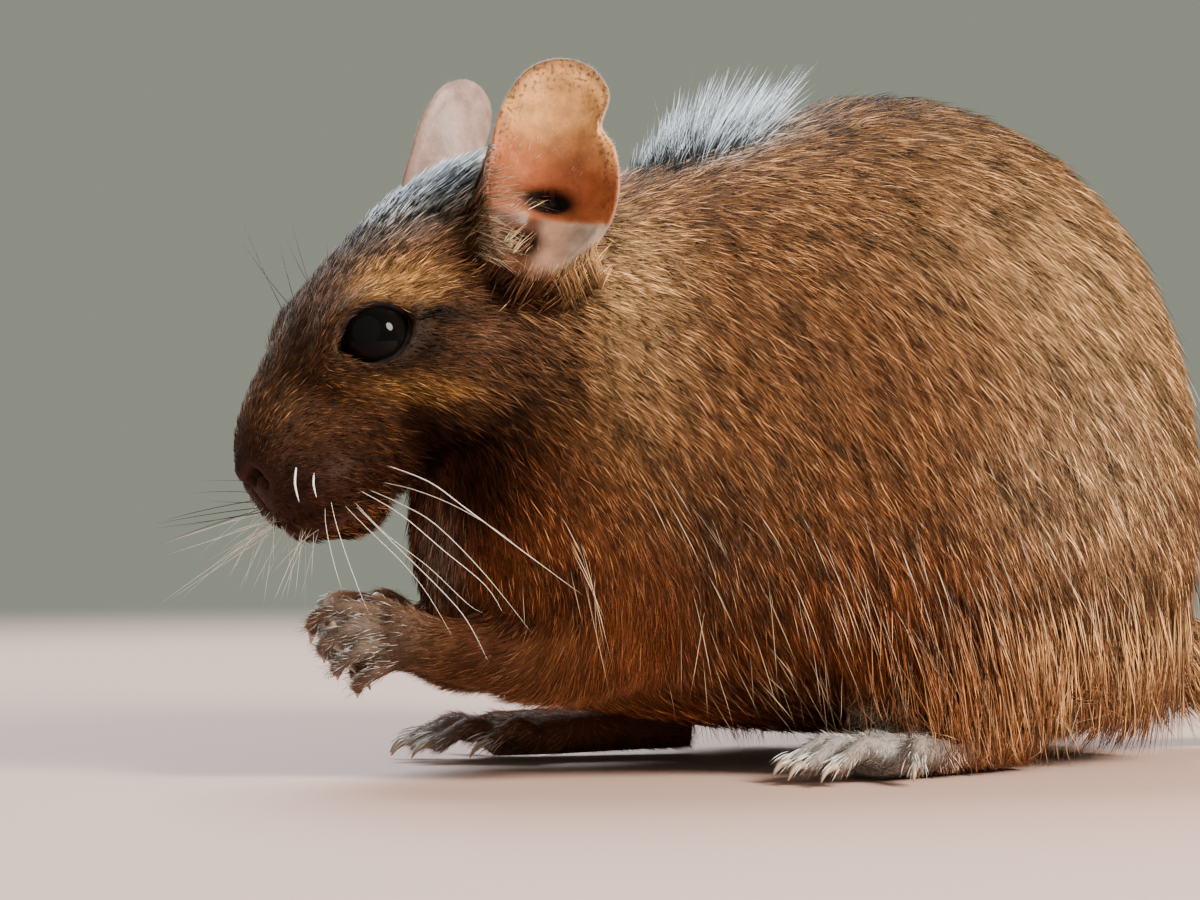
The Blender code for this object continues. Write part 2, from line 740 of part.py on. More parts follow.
def arm(side, extra=0.0):
    """The form of one arm, grown by extra in mm."""
    path = [(x, y, z, width + extra, height + extra) for x, y, z, width, height in flipped(ARM, side)]
    if side < 0:
        end = RIGHT_HAND_MOVES / MM
        count = len(path) - 1
        shares = [(i / count) ** 2 for i in range(count + 1)]
        moved = []
        for (x, y, z, width, height), k in zip(path, shares):
            moved.append((x + end.x * k, y + end.y * k, z + end.z * k, width, height))
        path = moved
    return limb("arm", path, 12 if extra else 20, 3)


def wrist_cut(side):
    """The block that takes away what an arm has past its wrist."""
    point = on_side(WRIST, side)
    if side < 0:
        point = point + RIGHT_HAND_MOVES
    return half_space(point, on_side(WRIST_NORMAL, side), WRIST_BLOCK)


def body_forms():
    """The forms that melt into the trunk, limbs and tail."""
    forms = [hull("trunk", TRUNK, sides=40), limb("tail", TAIL)]
    for side in (1, -1):
        forms += [thigh(side), arm(side)]
    return forms


def seams():
    """The thin walls and blocks that part the flesh into nodes."""
    walls = [seam_sheet(HEAD_LINE), seam_sheet(NECK_LINE)]
    walls += [seam_plate(point, normal, TAIL_CUT_HALF) for point, normal in TAIL_CUTS]
    for side in (1, -1):
        walls.append(seam_round(thigh(side, THIGH_SEAM)))
        walls.append(seam_round(arm(side, ARM_SEAM)))
        walls.append(wrist_cut(side))
    return walls


def lock(name, root, way, flat, length, width):
    """One flat lock that tapers from its sunk root to its tip, as wide as width across flat."""
    bm = bmesh.new()
    side = flat.cross(way).normalized()
    loops = []
    for share, broad, thick in LOCK_SECTIONS:
        centre = root + way * (length * share)
        loop = []
        for k in range(LOCK_SIDES):
            turn = math.tau * k / LOCK_SIDES
            spoke = side * (width * broad * math.cos(turn)) + flat * (width * thick * math.sin(turn))
            loop.append(bm.verts.new(centre + spoke))
        loops.append(loop)
    for near, far in zip(loops, loops[1:]):
        for k in range(LOCK_SIDES):
            n = (k + 1) % LOCK_SIDES
            bm.faces.new((near[k], near[n], far[n], far[k]))
    bm.faces.new(loops[0])
    bm.faces.new(loops[-1])
    return mesh_object(name, bm)


def brush_locks():
    """The locks of the brush at the tip of the tail, in rings from its start to its end."""
    rng = random.Random(SEED)
    path = [Vector(row[:3]) * MM for row in smooth_rows(TAIL, 4)]
    ends = path[-1 - BRUSH_STEPS :]
    locks = []
    for i in range(BRUSH_RINGS):
        place = i / (BRUSH_RINGS - 1) * (len(ends) - 1.001)
        step = int(place)
        along = (ends[step + 1] - ends[step]).normalized()
        root = ends[step].lerp(ends[step + 1], place - step)
        side = along.cross(Vector((0, 0, 1))).normalized()
        rise = side.cross(along)
        for k in range(BRUSH_ROUND):
            turn = math.tau * (k + 0.5 * (i % 2)) / BRUSH_ROUND
            out = side * math.cos(turn) + rise * math.sin(turn)
            spread = BRUSH_SPREAD if out.z > -0.3 else BRUSH_SPREAD_BELOW
            way = (along + out * (spread + rng.uniform(-0.05, 0.05))).normalized()
            length = BRUSH_LENGTH * rng.uniform(0.8, 1.05)
            locks.append(lock("lock", root + out * BRUSH_ROOT, way, out, length, BRUSH_WIDTH))
    return locks


def crest_locks(tree):
    """The erect locks on the nape."""
    rng = random.Random(SEED)
    locks = []
    for i in range(CREST_ROWS):
        for j in range(CREST_ACROSS):
            x = (j - (CREST_ACROSS - 1) / 2 + rng.uniform(-0.3, 0.3)) * CREST_SPACING
            y = CREST_FRONT + i * CREST_SPACING + rng.uniform(-0.3, 0.3)
            top = tree.ray_cast(Vector((x, y, 100)) * MM, Vector((0, 0, -1)))
            way = Vector((x * 0.05, rng.uniform(-0.05, 0.35), 1)).normalized()
            length = CREST_LENGTH * rng.uniform(0.75, 1.0)
            locks.append(lock("lock", top[0], way, Vector((0, -1, 0.2)).normalized(), length, CREST_WIDTH))
    return locks


def material(name, colour, roughness):
    """A plain material of one colour."""
    made = bpy.data.materials.new(name)
    made.diffuse_color = (*colour, 1)
    made.use_nodes = True
    surface = made.node_tree.nodes["Principled BSDF"]
    surface.inputs["Base Color"].default_value = (*colour, 1)
    surface.inputs["Roughness"].default_value = roughness
    surface.inputs["Metallic"].default_value = 0
    return made


def finished(nodes):
    """Every node in one collection, in its own material, with the origin under the middle."""
    together = bpy.data.collections.new("degu")
    bpy.context.scene.collection.children.link(together)
    corners = [v.co for obj in nodes for v in obj.data.vertices]
    low = Vector([min(point[i] for point in corners) for i in range(3)])
    high = Vector([max(point[i] for point in corners) for i in range(3)])
    middle = (low + high) / 2
    for obj in nodes:
        obj.data.transform(Matrix.Translation((-middle.x, -middle.y, -low.z)))
        for other in list(obj.users_collection):
            other.objects.unlink(obj)
        together.objects.link(obj)
        kind = next(key for key in FINISHES if obj.name.startswith(key))
        obj.data.materials.clear()
        obj.data.materials.append(material(obj.name + "_finish", *FINISHES[kind]))
    return together


def main():
    """Builds every node of the degu."""
    for obj in list(bpy.data.objects):
        bpy.data.objects.remove(obj)
    rough = melted("rough", head_forms(), 2 * FLESH_VOXEL, 4)
    lips = []
    for shift in (LIP_SPREAD, -LIP_SPREAD):
        lips += mouth_tubes(surface_of(rough), -0.35, LIP_ROLL, shift)
    bpy.data.objects.remove(rough)
    flesh = melted("flesh", head_forms() + lips + body_forms(), FLESH_VOXEL, 12)
    tree = surface_of(flesh)
    fine = thinned(copy_of(flesh, "fine"), FINE_TRIANGLES)
    nodes = []
    for side, word in ((1, "left"), (-1, "right")):
        nodes.append(ear(word, side, fine))
        nodes.append(sphere("eye_" + word, on_side(EYE_CENTRE, side), EYE_RADIUS))
        nodes.append(hand(word, side))
        nodes.append(foot(word, side))
    combined(fine, "DIFFERENCE", [seam_sheet(HEAD_LINE)])
    head = one_body(fine, "head_front", HEAD_MIDDLE)
    bpy.data.objects.remove(fine)
    nodes.append(kept(combined(head, "DIFFERENCE", face_cutters(tree)), "head"))
    combined(thinned(flesh, BODY_TRIANGLES), "DIFFERENCE", [floor_block()])
    combined(flesh, "DIFFERENCE", seams() + [sole_room(word) for word in FEET])
    nodes += [one_body(flesh, name, landmark) for name, landmark in BODY_NODES.items()]
    bpy.data.objects.remove(flesh)
    for obj in nodes:
        if obj.name == "tail_tip":
            combined(obj, "UNION", brush_locks())
        if obj.name == "torso":
            combined(obj, "UNION", crest_locks(tree))
    finished(nodes)


def face_cutters(tree):
    """What is cut from the head: eyes, lid openings, the mouth, the cleft of the lip and nostrils."""
    cutters = mouth_tubes(tree, 0, MOUTH_GROOVE / MM)
    cutters.append(tube("cleft", on_skin(tree, PHILTRUM, 1), [0.3, 0.34, 0.38], 8))
    for side in (1, -1):
        cutters.append(sphere("eye_room", on_side(EYE_CENTRE, side), EYE_RADIUS + GAP))
        cutters.append(lid_opening(side))
        cutters.append(swelling("nostril", NOSTRIL, side))
    return cutters


main()
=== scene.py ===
# %% [markdown]
# # A degu that sits up on its hind feet
# A degu is a small rodent with large bare ears, ticked brown fur and a tail that ends in
# a brush. The solid model gives its exact shape. This notebook dresses that shape: one
# smooth skin, wet eyes, thin ears, and a coat of many small solid hairs that are combed
# the way the real ones lie.

# %% Load the frame
import math

import bmesh
import bpy
import numpy as np
from mathutils import Matrix, Vector, noise
from mathutils.bvhtree import BVHTree
from mathutils.kdtree import KDTree


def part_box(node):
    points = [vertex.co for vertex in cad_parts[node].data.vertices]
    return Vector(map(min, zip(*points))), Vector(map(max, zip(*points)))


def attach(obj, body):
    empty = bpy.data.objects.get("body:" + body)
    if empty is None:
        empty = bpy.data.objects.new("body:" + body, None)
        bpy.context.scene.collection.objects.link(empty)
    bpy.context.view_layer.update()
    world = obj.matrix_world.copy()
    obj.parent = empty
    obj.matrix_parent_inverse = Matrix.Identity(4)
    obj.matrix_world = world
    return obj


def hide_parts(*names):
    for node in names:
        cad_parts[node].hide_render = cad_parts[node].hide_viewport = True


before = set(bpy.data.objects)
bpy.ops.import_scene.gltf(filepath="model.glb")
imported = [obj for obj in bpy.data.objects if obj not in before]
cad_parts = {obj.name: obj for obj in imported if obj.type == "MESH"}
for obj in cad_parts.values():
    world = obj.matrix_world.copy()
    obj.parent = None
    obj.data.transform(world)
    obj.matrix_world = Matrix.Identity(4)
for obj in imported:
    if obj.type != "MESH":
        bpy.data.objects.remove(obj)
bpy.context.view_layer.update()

print("nodes:", ", ".join(sorted(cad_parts)))

# %% [markdown]
# The animal was first measured with its own origin between the feet, in millimetres, with
# the nose towards -Y and its left side at +X. All sizes below are in those millimetres.
# The centre of the left eye is known in both frames, so it ties them together.

# %% Tie millimetres of the animal to metres of the frame
MM = 0.001
EYE = np.array([6.9, -54.6, 48.8])
eye_low, eye_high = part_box("eye_left")
SHIFT = (np.array(eye_low) + np.array(eye_high)) / 2 - EYE * MM
SIDES = ((1, "left"), (-1, "right"))
RANDOM_SEED = 7
rng = np.random.default_rng(RANDOM_SEED)
share_of_coat = 1.0


def metres(points):
    """Row-frame metres of points in the animal's millimetres."""
    return np.asarray(points, dtype=float) * MM + SHIFT


def millimetres(points):
    """The animal's millimetres of points in row-frame metres."""
    return (np.asarray(points, dtype=float) - SHIFT) / MM


def unit(vectors):
    """Vectors of length one."""
    vectors = np.asarray(vectors, dtype=float)
    return vectors / np.maximum(np.linalg.norm(vectors, axis=-1, keepdims=True), 1e-9)


def smoothstep(low, high, value):
    """0 below low, 1 above high, with a soft rise between."""
    t = np.clip((value - low) / (high - low), 0, 1)
    return t * t * (3 - 2 * t)


print("shift in mm:", np.round(SHIFT / MM, 2))

# %% [markdown]
# Materials in Blender are graphs of nodes. Four short helpers add a node, set its inputs,
# join two nodes and start a material, so that the cells below say only what they build.

# %% Write helpers for materials
def set_inputs(shader_node, values):
    """Sets inputs of a node by their names."""
    for key, value in values.items():
        shader_node.inputs[key].default_value = value


def node(tree, kind, inputs=None, **settings):
    """A new node with these inputs and settings."""
    made = tree.nodes.new(kind)
    for key, value in settings.items():
        setattr(made, key, value)
    set_inputs(made, inputs or {})
    return made


def link(source, output, target, entry):
    """Joins an output of one node to an input of another."""
    source.id_data.links.new(source.outputs[output], target.inputs[entry])


def plain_material(name, colour, roughness):
    """A Principled material of one colour, and its surface node."""
    made = bpy.data.materials.new(name)
    made.use_nodes = True
    surface = made.node_tree.nodes["Principled BSDF"]
    set_inputs(surface, {"Base Color": (*colour, 1), "Roughness": roughness})
    return made, surface


print("helpers: set_inputs, node, link, plain_material")

# %% [markdown]
# ## Camera, light and floor
# The camera stands level with the animal on its left and a little in front. A long lens
# from 65 cm keeps the shape flat and calm, as in a portrait of a small animal. A small warm
# lamp is the key, like a low sun. A wider cool lamp behind and above gives the fur its
# silver edge, and a very wide, weak one fills the near side.

# %% Set the camera
AIM = Vector(metres([0, -24.5, 36]))
DISTANCE = 0.65
AZIMUTH, ELEVATION = math.radians(67), math.radians(1.5)
FRAME_WIDTH = 0.1356
SENSOR = 36
back_to_camera = Vector((
    math.sin(AZIMUTH) * math.cos(ELEVATION),
    -math.cos(AZIMUTH) * math.cos(ELEVATION),
    math.sin(ELEVATION),
))
camera = bpy.data.objects.new("camera", bpy.data.cameras.new("camera"))
camera.location = AIM + back_to_camera * DISTANCE
camera.rotation_euler = (-back_to_camera).to_track_quat("-Z", "Y").to_euler()
camera.data.sensor_width = SENSOR
camera.data.lens = SENSOR * DISTANCE / FRAME_WIDTH
camera.data.clip_start = 0.02
bpy.context.scene.collection.objects.link(camera)
bpy.context.scene.camera = camera
print("lens in mm:", round(camera.data.lens, 1))


# %% Hang the lamps
def lamp(name, place, size, power, colour):
    """A soft round lamp at place (in mm), turned to the animal."""
    light = bpy.data.lights.new(name, "AREA")
    light.shape = "DISK"
    light.size = size
    light.energy = power
    light.color = colour
    obj = bpy.data.objects.new(name, light)
    obj.location = metres(place)
    obj.rotation_euler = (AIM - obj.location).to_track_quat("-Z", "Y").to_euler()
    bpy.context.scene.collection.objects.link(obj)


# name, place in mm, width in m, power in W, colour
LAMPS = [
    ("key_lamp", (420, 260, 330), 0.22, 10.5, (1.0, 0.92, 0.80)),
    ("sky_lamp", (-380, -20, 520), 0.5, 8.5, (0.80, 0.90, 1.0)),
    ("fill_lamp", (620, -620, 380), 1.7, 5.0, (1.0, 0.96, 0.90)),
]
WALL_COLOUR, WALL_STRENGTH = (0.66, 0.70, 0.56), 0.42
for row in LAMPS:
    lamp(*row)
world = bpy.data.worlds.new("studio")
bpy.context.scene.world = world
world.use_nodes = True
backdrop = world.node_tree.nodes["Background"]
set_inputs(backdrop, {"Color": (*WALL_COLOUR, 1), "Strength": WALL_STRENGTH})
print("lamps:", ", ".join(row[0] for row in LAMPS))


# %% Lay the floor
FLOOR_RADIUS, FLOOR_FADE = 0.36, 0.14
FLOOR_COLOUR, FLOOR_ROUGHNESS = (0.47, 0.305, 0.255), 0.7
FLOOR_DROP = 0.0002  # below the feet, so that the two never flicker
pale_floor, surface = plain_material("pale_floor", FLOOR_COLOUR, FLOOR_ROUGHNESS)
tree = pale_floor.node_tree
place_on_floor = node(tree, "ShaderNodeTexCoord")
from_middle = node(tree, "ShaderNodeVectorMath", operation="LENGTH")
link(place_on_floor, "Object", from_middle, 0)
fade_span = {
    "From Min": FLOOR_RADIUS - FLOOR_FADE, "From Max": FLOOR_RADIUS, "To Min": 1, "To Max": 0,
}
fade = node(tree, "ShaderNodeMapRange", fade_span, interpolation_type="SMOOTHSTEP")
link(from_middle, "Value", fade, "Value")
link(fade, "Result", surface, "Alpha")
bpy.ops.mesh.primitive_circle_add(
    vertices=128, radius=FLOOR_RADIUS, fill_type="NGON", location=(AIM.x, AIM.y, -FLOOR_DROP)
)
floor = bpy.context.object
floor.name = "floor"
floor.data.materials.append(pale_floor)
print("floor radius in m:", FLOOR_RADIUS)

# %% [markdown]
# ## One skin
# The solids meet with thin gaps, which is right for a model in parts and wrong for skin.
# Grown copies of them overlap a little, a voxel remesh fuses them into one closed
# surface, and smoothing takes the facets off. The hair on the nape and the tail brush are
# built later as real hair, so the skin is first cut back to the flesh below them.

# %% Take copies of the flesh
FLESH = [
    "head", "neck", "torso", "thigh_left", "thigh_right", "foreleg_left", "foreleg_right",
    "hand_left", "hand_right", "foot_left", "foot_right", "tail_base", "tail_middle",
]
MADE_FINER = ("hand", "foot")
SEAM_OVERLAP = 0.25
# y, height of the back and half width of the trunk there
BACK_LINE = [(-24, 67.6, 26.6), (-10, 72.5, 30), (3, 77, 32)]
WIDEST_HEIGHT = 26
CREST_HALF_WIDTH, CREST_FRONT, CREST_REAR = 7, -23, 2


def without_crest(points):
    """The trunk's points in mm, with the hair on the nape pressed down to the back."""
    line = np.array(BACK_LINE)
    top = np.interp(points[:, 1], line[:, 0], line[:, 1])
    half = np.interp(points[:, 1], line[:, 0], line[:, 2])
    arch = np.sqrt(np.clip(1 - (points[:, 0] / half) ** 2, 0, 1))
    arch = WIDEST_HEIGHT + (top - WIDEST_HEIGHT) * arch
    near = (points[:, 1] > CREST_FRONT) & (points[:, 1] < CREST_REAR)
    near &= abs(points[:, 0]) < CREST_HALF_WIDTH
    points[:, 2] = np.where(near, np.minimum(points[:, 2], arch), points[:, 2])
    return points


def points_of(mesh):
    """All points of a mesh as an array."""
    flat = np.empty(len(mesh.vertices) * 3)
    mesh.vertices.foreach_get("co", flat)
    return flat.reshape(-1, 3)


def set_points(mesh, points):
    """Moves all points of a mesh."""
    mesh.vertices.foreach_set("co", np.asarray(points, dtype=float).ravel())
    mesh.update()


def normals_of(mesh):
    """The normals at all points of a mesh."""
    flat = np.empty(len(mesh.vertices) * 3)
    mesh.vertices.foreach_get("normal", flat)
    return flat.reshape(-1, 3)


def new_object(name, mesh):
    """A linked object with this mesh."""
    obj = bpy.data.objects.new(name, mesh)
    bpy.context.scene.collection.objects.link(obj)
    return obj


flesh = bmesh.new()
for name in [name for name in FLESH if not name.startswith(MADE_FINER)]:
    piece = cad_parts[name].data.copy()
    grown = points_of(piece) + normals_of(piece) * (SEAM_OVERLAP * MM)
    if name == "torso":
        grown = metres(without_crest(millimetres(grown)))
    set_points(piece, grown)
    flesh.from_mesh(piece)
    bpy.data.meshes.remove(piece)
print("flesh points:", len(flesh.verts))

# %% [markdown]
# Fingers and toes are too small for the solids' few faces, so they are made again here,
# finer, from the same sizes: tubes for the palm, the fingers, the sole and the toes. The
# end of the tail below its brush is one more tube.

# %% Lay a tube
def tube_into(bm, rows, sides=14):
    """Adds a closed tube through rows of x, y, z, half width and half height (mm) to a bmesh."""
    centres = metres([row[:3] for row in rows])
    loops = []
    for i, row in enumerate(rows):
        along = Vector(centres[min(i + 1, len(rows) - 1)] - centres[max(i - 1, 0)]).normalized()
        side = along.cross(Vector((0, 0, 1))).normalized()
        rise = side.cross(along)
        loop = []
        for k in range(sides):
            turn = math.tau * k / sides
            spoke = side * (row[3] * math.cos(turn)) + rise * (row[-1] * math.sin(turn))
            loop.append(bm.verts.new(Vector(centres[i]) + spoke * MM))
        loops.append(loop)
    for near, far in zip(loops, loops[1:]):
        for k in range(sides):
            n = (k + 1) % sides
            bm.faces.new((near[k], near[n], far[n], far[k]))
    bm.faces.new(loops[0][::-1])
    bm.faces.new(loops[-1])


def smooth_rows(rows, steps):
    """More rows on a smooth curve through these."""
    rows = np.array(rows, dtype=float)
    padded = np.concatenate([rows[:1], rows, rows[-1:]])
    smooth = []
    for i in range(len(rows) - 1):
        a, b, c, d = padded[i:i + 4]
        for t in np.linspace(0, 1, steps, endpoint=False):
            bend = 2 * a - 5 * b + 4 * c - d
            twist = 3 * b - a - 3 * c + d
            smooth.append(b + 0.5 * ((c - a) * t + bend * t * t + twist * t**3))
    smooth.append(rows[-1])
    return smooth


# x, y, z, half width and half height in mm
TAIL_END = [
    (-20, 99, 3.5, 3.2), (-30, 108, 3.4, 2.7), (-38, 113, 3.5, 2.3),
    (-45, 117, 3.7, 1.9), (-52, 119.6, 4.0, 1.5), (-57, 121, 4.2, 1.1),
]
tube_into(flesh, TAIL_END)
print("tail end rings:", len(TAIL_END))

# %% Make the hands
PALM = [
    (7.6, -44.6, 14.4, 3.2, 3.4), (6.9, -47.4, 15.0, 2.7, 3.3),
    (6.5, -50.6, 15.7, 2.5, 3.7), (6.1, -53.0, 16.0, 2.1, 3.8),
]
# the left hand's knuckles, from the palm to the tip
FINGERS = [
    [(5.8, -52.0, 18.3), (5.6, -57.2, 19.2), (3.2, -59.9, 18.0), (1.4, -59.6, 16.2)],
    [(6.5, -52.2, 16.6), (6.8, -57.4, 16.8), (4.6, -59.3, 15.0), (2.5, -58.6, 13.8)],
    [(6.5, -51.8, 14.8), (6.9, -56.2, 14.3), (4.9, -57.8, 12.7), (3.0, -57.2, 11.8)],
    [(6.1, -50.8, 13.3), (6.4, -54.1, 12.0), (5.0, -55.5, 10.6), (3.7, -55.1, 9.9)],
]
THUMB = [(4.6, -50.2, 18.4), (3.4, -52.8, 19.5), (2.3, -54.0, 19.3)]
FINGER_RADII = (1.1, 1.08, 0.98, 0.85)
KNUCKLE_SWELL = [(0, 0.7, 0.1, 0.6), (0, 0, 0, 1.22), (-0.4, -0.6, -0.1, 0.6)]
RIGHT_HAND_MOVES = np.array([1.6, 2.8, 0.6])


def in_hand(rows, side):
    """Rows of the left hand, kept, or mirrored and moved to the right hand."""
    rows = np.array(rows, dtype=float)
    rows[:, 0] *= side
    if side < 0:
        rows[:, :3] += RIGHT_HAND_MOVES
    return rows


for side, _ in SIDES:
    tube_into(flesh, smooth_rows(in_hand(PALM, side), 4), 20)
    for finger in FINGERS + [THUMB]:
        rows = [(*point, radius) for point, radius in zip(finger, FINGER_RADII)]
        tube_into(flesh, smooth_rows(in_hand(rows, side), 5))
        knuckle = np.array(finger[1])
        swell = [(*(knuckle + moves), radius) for *moves, radius in KNUCKLE_SWELL]
        tube_into(flesh, in_hand(swell, side))
print("digits of a hand:", len(FINGERS) + 1)

# %% Make the feet
SOLE = [(0, 23, 4.2, 3.4, 3.8), (0, 15, 3.2, 3.8, 3.0), (0, 6, 2.9, 4.5, 2.8), (0, -1, 2.7, 4.8, 2.6)]
# a toe's root across and back (mm), its length and its splay in degrees
TOES = [
    (-4.2, 2.5, 5.4, -10), (-2.9, -1.6, 7.6, -4), (0, -2.2, 8.2, 2),
    (2.9, -1.6, 7.8, 9), (4.2, 3.4, 6.4, 42),
]
# share of a toe's length, its height and its radius there
TOE_ARCH = [
    (-0.15, 2.8, 1.4), (0.12, 3.5, 1.5), (0.34, 4.0, 1.42),
    (0.62, 3.2, 1.25), (0.85, 2.2, 1.25), (1.0, 1.7, 1.0),
]
# where a foot stands (x, y in mm) and how it is turned, in degrees
FEET = {"left": (25.2, -2.5, 17), "right": (-18.5, -29.5, -4)}


def in_foot(rows, word):
    """Rows of a foot that points along -Y, turned and moved to where it stands."""
    x, y, turn = FEET[word]
    side = 1 if word == "left" else -1
    c, s = math.cos(math.radians(turn)), math.sin(math.radians(turn))
    placed = np.array(rows, dtype=float)
    across, back = side * placed[:, 0].copy(), placed[:, 1].copy()
    placed[:, 0], placed[:, 1] = x + c * across - s * back, y + s * across + c * back
    return placed


for word in FEET:
    tube_into(flesh, smooth_rows(in_foot(SOLE, word), 4), 24)
    for across, back, long, splay in TOES:
        ahead = np.array([math.sin(math.radians(splay)), -math.cos(math.radians(splay))])
        rows = []
        for share, z, radius in TOE_ARCH:
            rows.append((*(np.array([across, back]) + ahead * (long * share)), z, radius))
        tube_into(flesh, smooth_rows(in_foot(rows, word), 4))
print("toes of a foot:", len(TOES))

# %% Fuse and smooth
SKIN_VOXEL = 0.36
SKIN_EASING, LAST_EASING = 6, 3
EASING_STEP = 0.5


def apply_modifiers(obj):
    """Turns the object's modifiers into its mesh."""
    bpy.context.view_layer.update()
    graph = bpy.context.evaluated_depsgraph_get()
    mesh = bpy.data.meshes.new_from_object(obj.evaluated_get(graph))
    obj.modifiers.clear()
    obj.data = mesh


def shade_smooth(mesh):
    """Smooth shading on all faces of a mesh."""
    mesh.polygons.foreach_set("use_smooth", np.ones(len(mesh.polygons), dtype=bool))


def finish_mesh(bm, mesh):
    """Puts a bmesh into a mesh, with its faces turned outwards and shaded smooth, and frees it."""
    bmesh.ops.recalc_face_normals(bm, faces=bm.faces)
    bm.to_mesh(mesh)
    bm.free()
    shade_smooth(mesh)
    return mesh


skin = new_object("skin", finish_mesh(flesh, bpy.data.meshes.new("skin")))
fuse = skin.modifiers.new("fuse", "REMESH")
fuse.mode = "VOXEL"
fuse.voxel_size = SKIN_VOXEL * MM
ease = skin.modifiers.new("ease", "SMOOTH")
ease.factor = EASING_STEP
ease.iterations = SKIN_EASING
apply_modifiers(skin)
print("skin faces:", len(skin.data.polygons))

# %% [markdown]
# Every region of the skin needs its own coat. The nearest solid names the region of any
# point, through a k-d tree of the solids' points.

# %% Name the region of any point
REGIONS = FLESH + ["tail_tip"]
node_points = [millimetres(points_of(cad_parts[name].data)) for name in REGIONS]
region_of_point = np.concatenate([np.full(len(p), i) for i, p in enumerate(node_points)])
region_tree = KDTree(len(region_of_point))
for index, point in enumerate(np.concatenate(node_points)):
    region_tree.insert(point, index)
region_tree.balance()


def regions(points):
    """The index in REGIONS of the solid nearest to each point in mm."""
    return np.array([region_of_point[region_tree.find(point)[1]] for point in points])


def in_regions(index, *starts):
    """True where the region's name starts with one of these words."""
    wanted = [i for i, name in enumerate(REGIONS) if name.startswith(starts)]
    return np.isin(index, wanted)


print("points in the tree:", len(region_of_point))

# %% [markdown]
# ## The comb
# Hair is combed with guides: each says, at one place, which way the hair lies, how long
# it is and how far it lifts. Everywhere else takes a smooth mix of the guides near it.
# The hair runs from the nose over the head, back along the spine and down the flanks, and
# hangs in a skirt over the hind feet.

# %% Write the guides
# x, y, z, then the way it lies, its length, its lift in degrees, and the reach of the guide
BOTH_SIDES = [
    (0, -67, 34, 0, 0.4, 0.9, 1.6, 12, 5),
    (5.5, -62, 34, 0.3, 0.9, 0.25, 2.0, 12, 5),
    (0, -60, 26, 0, 1, -0.1, 1.8, 10, 5),
    (0, -58, 51, 0, 0.8, 0.6, 2.8, 16, 7),
    (0, -45, 64, 0, 0.85, 0.5, 5.0, 24, 8),
    (10, -55, 42, 0.2, 0.95, 0.1, 2.0, 10, 5),
    (12, -45, 44, 0.3, 0.9, -0.2, 3.2, 15, 7),
    (12, -38, 38, 0.3, 0.8, -0.45, 4.5, 17, 8),
    (7, -50, 31, 0.2, 0.85, -0.4, 3.0, 15, 6),
    (8, -52, 54, 0.1, 0.8, 0.5, 2.2, 16, 5),
    (13, -30, 56, 0.2, 0.8, -0.4, 5.5, 15, 8),
    (4, -26, 68, 0.1, 0.8, 0.2, 6.5, 22, 7),
    (0, 8, 77, 0, 1, 0, 7.5, 13, 14),
    (14, -14, 68, 0.3, 0.75, -0.4, 7.0, 13, 10),
    (22, 2, 64, 0.3, 0.65, -0.65, 7.5, 12, 14),
    (20, 30, 62, 0.2, 0.6, -0.75, 8.0, 13, 14),
    (22, -25, 46, 0.2, 0.6, -0.75, 7.0, 13, 12),
    (31, 0, 40, 0, 0.5, -0.85, 8.5, 12, 14),
    (31, 25, 38, 0, 0.35, -0.93, 9.0, 13, 14),
    (28, -10, 17, -0.1, 0.3, -0.95, 9.0, 15, 10),
    (29, 18, 14, 0, 0.15, -1, 10.0, 17, 12),
    (0, 46, 42, 0, 0.3, -0.95, 8.5, 14, 12),
    (12, 42, 20, 0, 0.25, -1, 10.0, 16, 10),
    (0, -44, 32, 0, 0.1, -1, 5.0, 14, 8),
    (16, -37, 28, 0.1, 0.35, -0.9, 6.5, 15, 8),
    (0, -12, 4, 0, 1, 0, 5.0, 8, 14),
    (17, -29, 18, -0.3, -0.3, -0.9, 5.5, 14, 6),
    (11, -40, 14, -0.4, -0.85, -0.1, 3.4, 12, 5),
    (6.5, -49, 15.5, -0.2, -0.95, 0.1, 2.0, 12, 4),
    (5.5, -55, 16, -0.3, -0.9, 0.1, 1.3, 12, 4),
    (0, 52, 11, 0, 0.85, -0.5, 4.5, 14, 6),
]
ONE_SIDE = [
    (24, 0, 5, 0.28, -0.95, -0.1, 2.2, 14, 6),
    (27, -9, 3, 0.3, -0.9, -0.3, 2.6, 18, 5),
    (31, -1, 4, 0.75, -0.6, -0.3, 2.6, 18, 3),
    (-18, -26, 5, -0.07, -1, -0.1, 2.2, 14, 6),
    (-19, -37, 3, -0.07, -0.95, -0.3, 2.6, 18, 5),
    (-6, 74, 4, -0.3, 0.95, 0, 3.6, 14, 8),
    (-22, 101, 4, -0.72, 0.69, 0, 5.0, 16, 8),
    (-48, 118, 4, -0.95, 0.3, 0, 8.0, 20, 10),
]
mirrored = [(-g[0], g[1], g[2], -g[3], *g[4:]) for g in BOTH_SIDES if g[0] > 0]
GUIDES = np.array(BOTH_SIDES + mirrored + ONE_SIDE, dtype=float)


def combed(points):
    """The lie (unit vectors), length and lift of the hair at points in mm."""
    total = np.zeros((len(points), 5))
    weight = np.zeros(len(points))
    for guide in GUIDES:
        away = ((points - guide[:3]) ** 2).sum(axis=1) / guide[8] ** 2
        share = np.exp(-0.5 * np.minimum(away, 60)) + 1e-9
        total += share[:, None] * np.array([*unit(guide[3:6]), guide[6], guide[7]])
        weight += share
    total /= weight[:, None]
    return unit(total[:, :3]), total[:, 3], np.radians(total[:, 4])


print("guides:", len(GUIDES))

# %% [markdown]
# The solids show the outside of the coat, so the skin goes in by about a quarter of the
# hair's length. Near the eyes there is hardly any hair, and the lids keep their place.

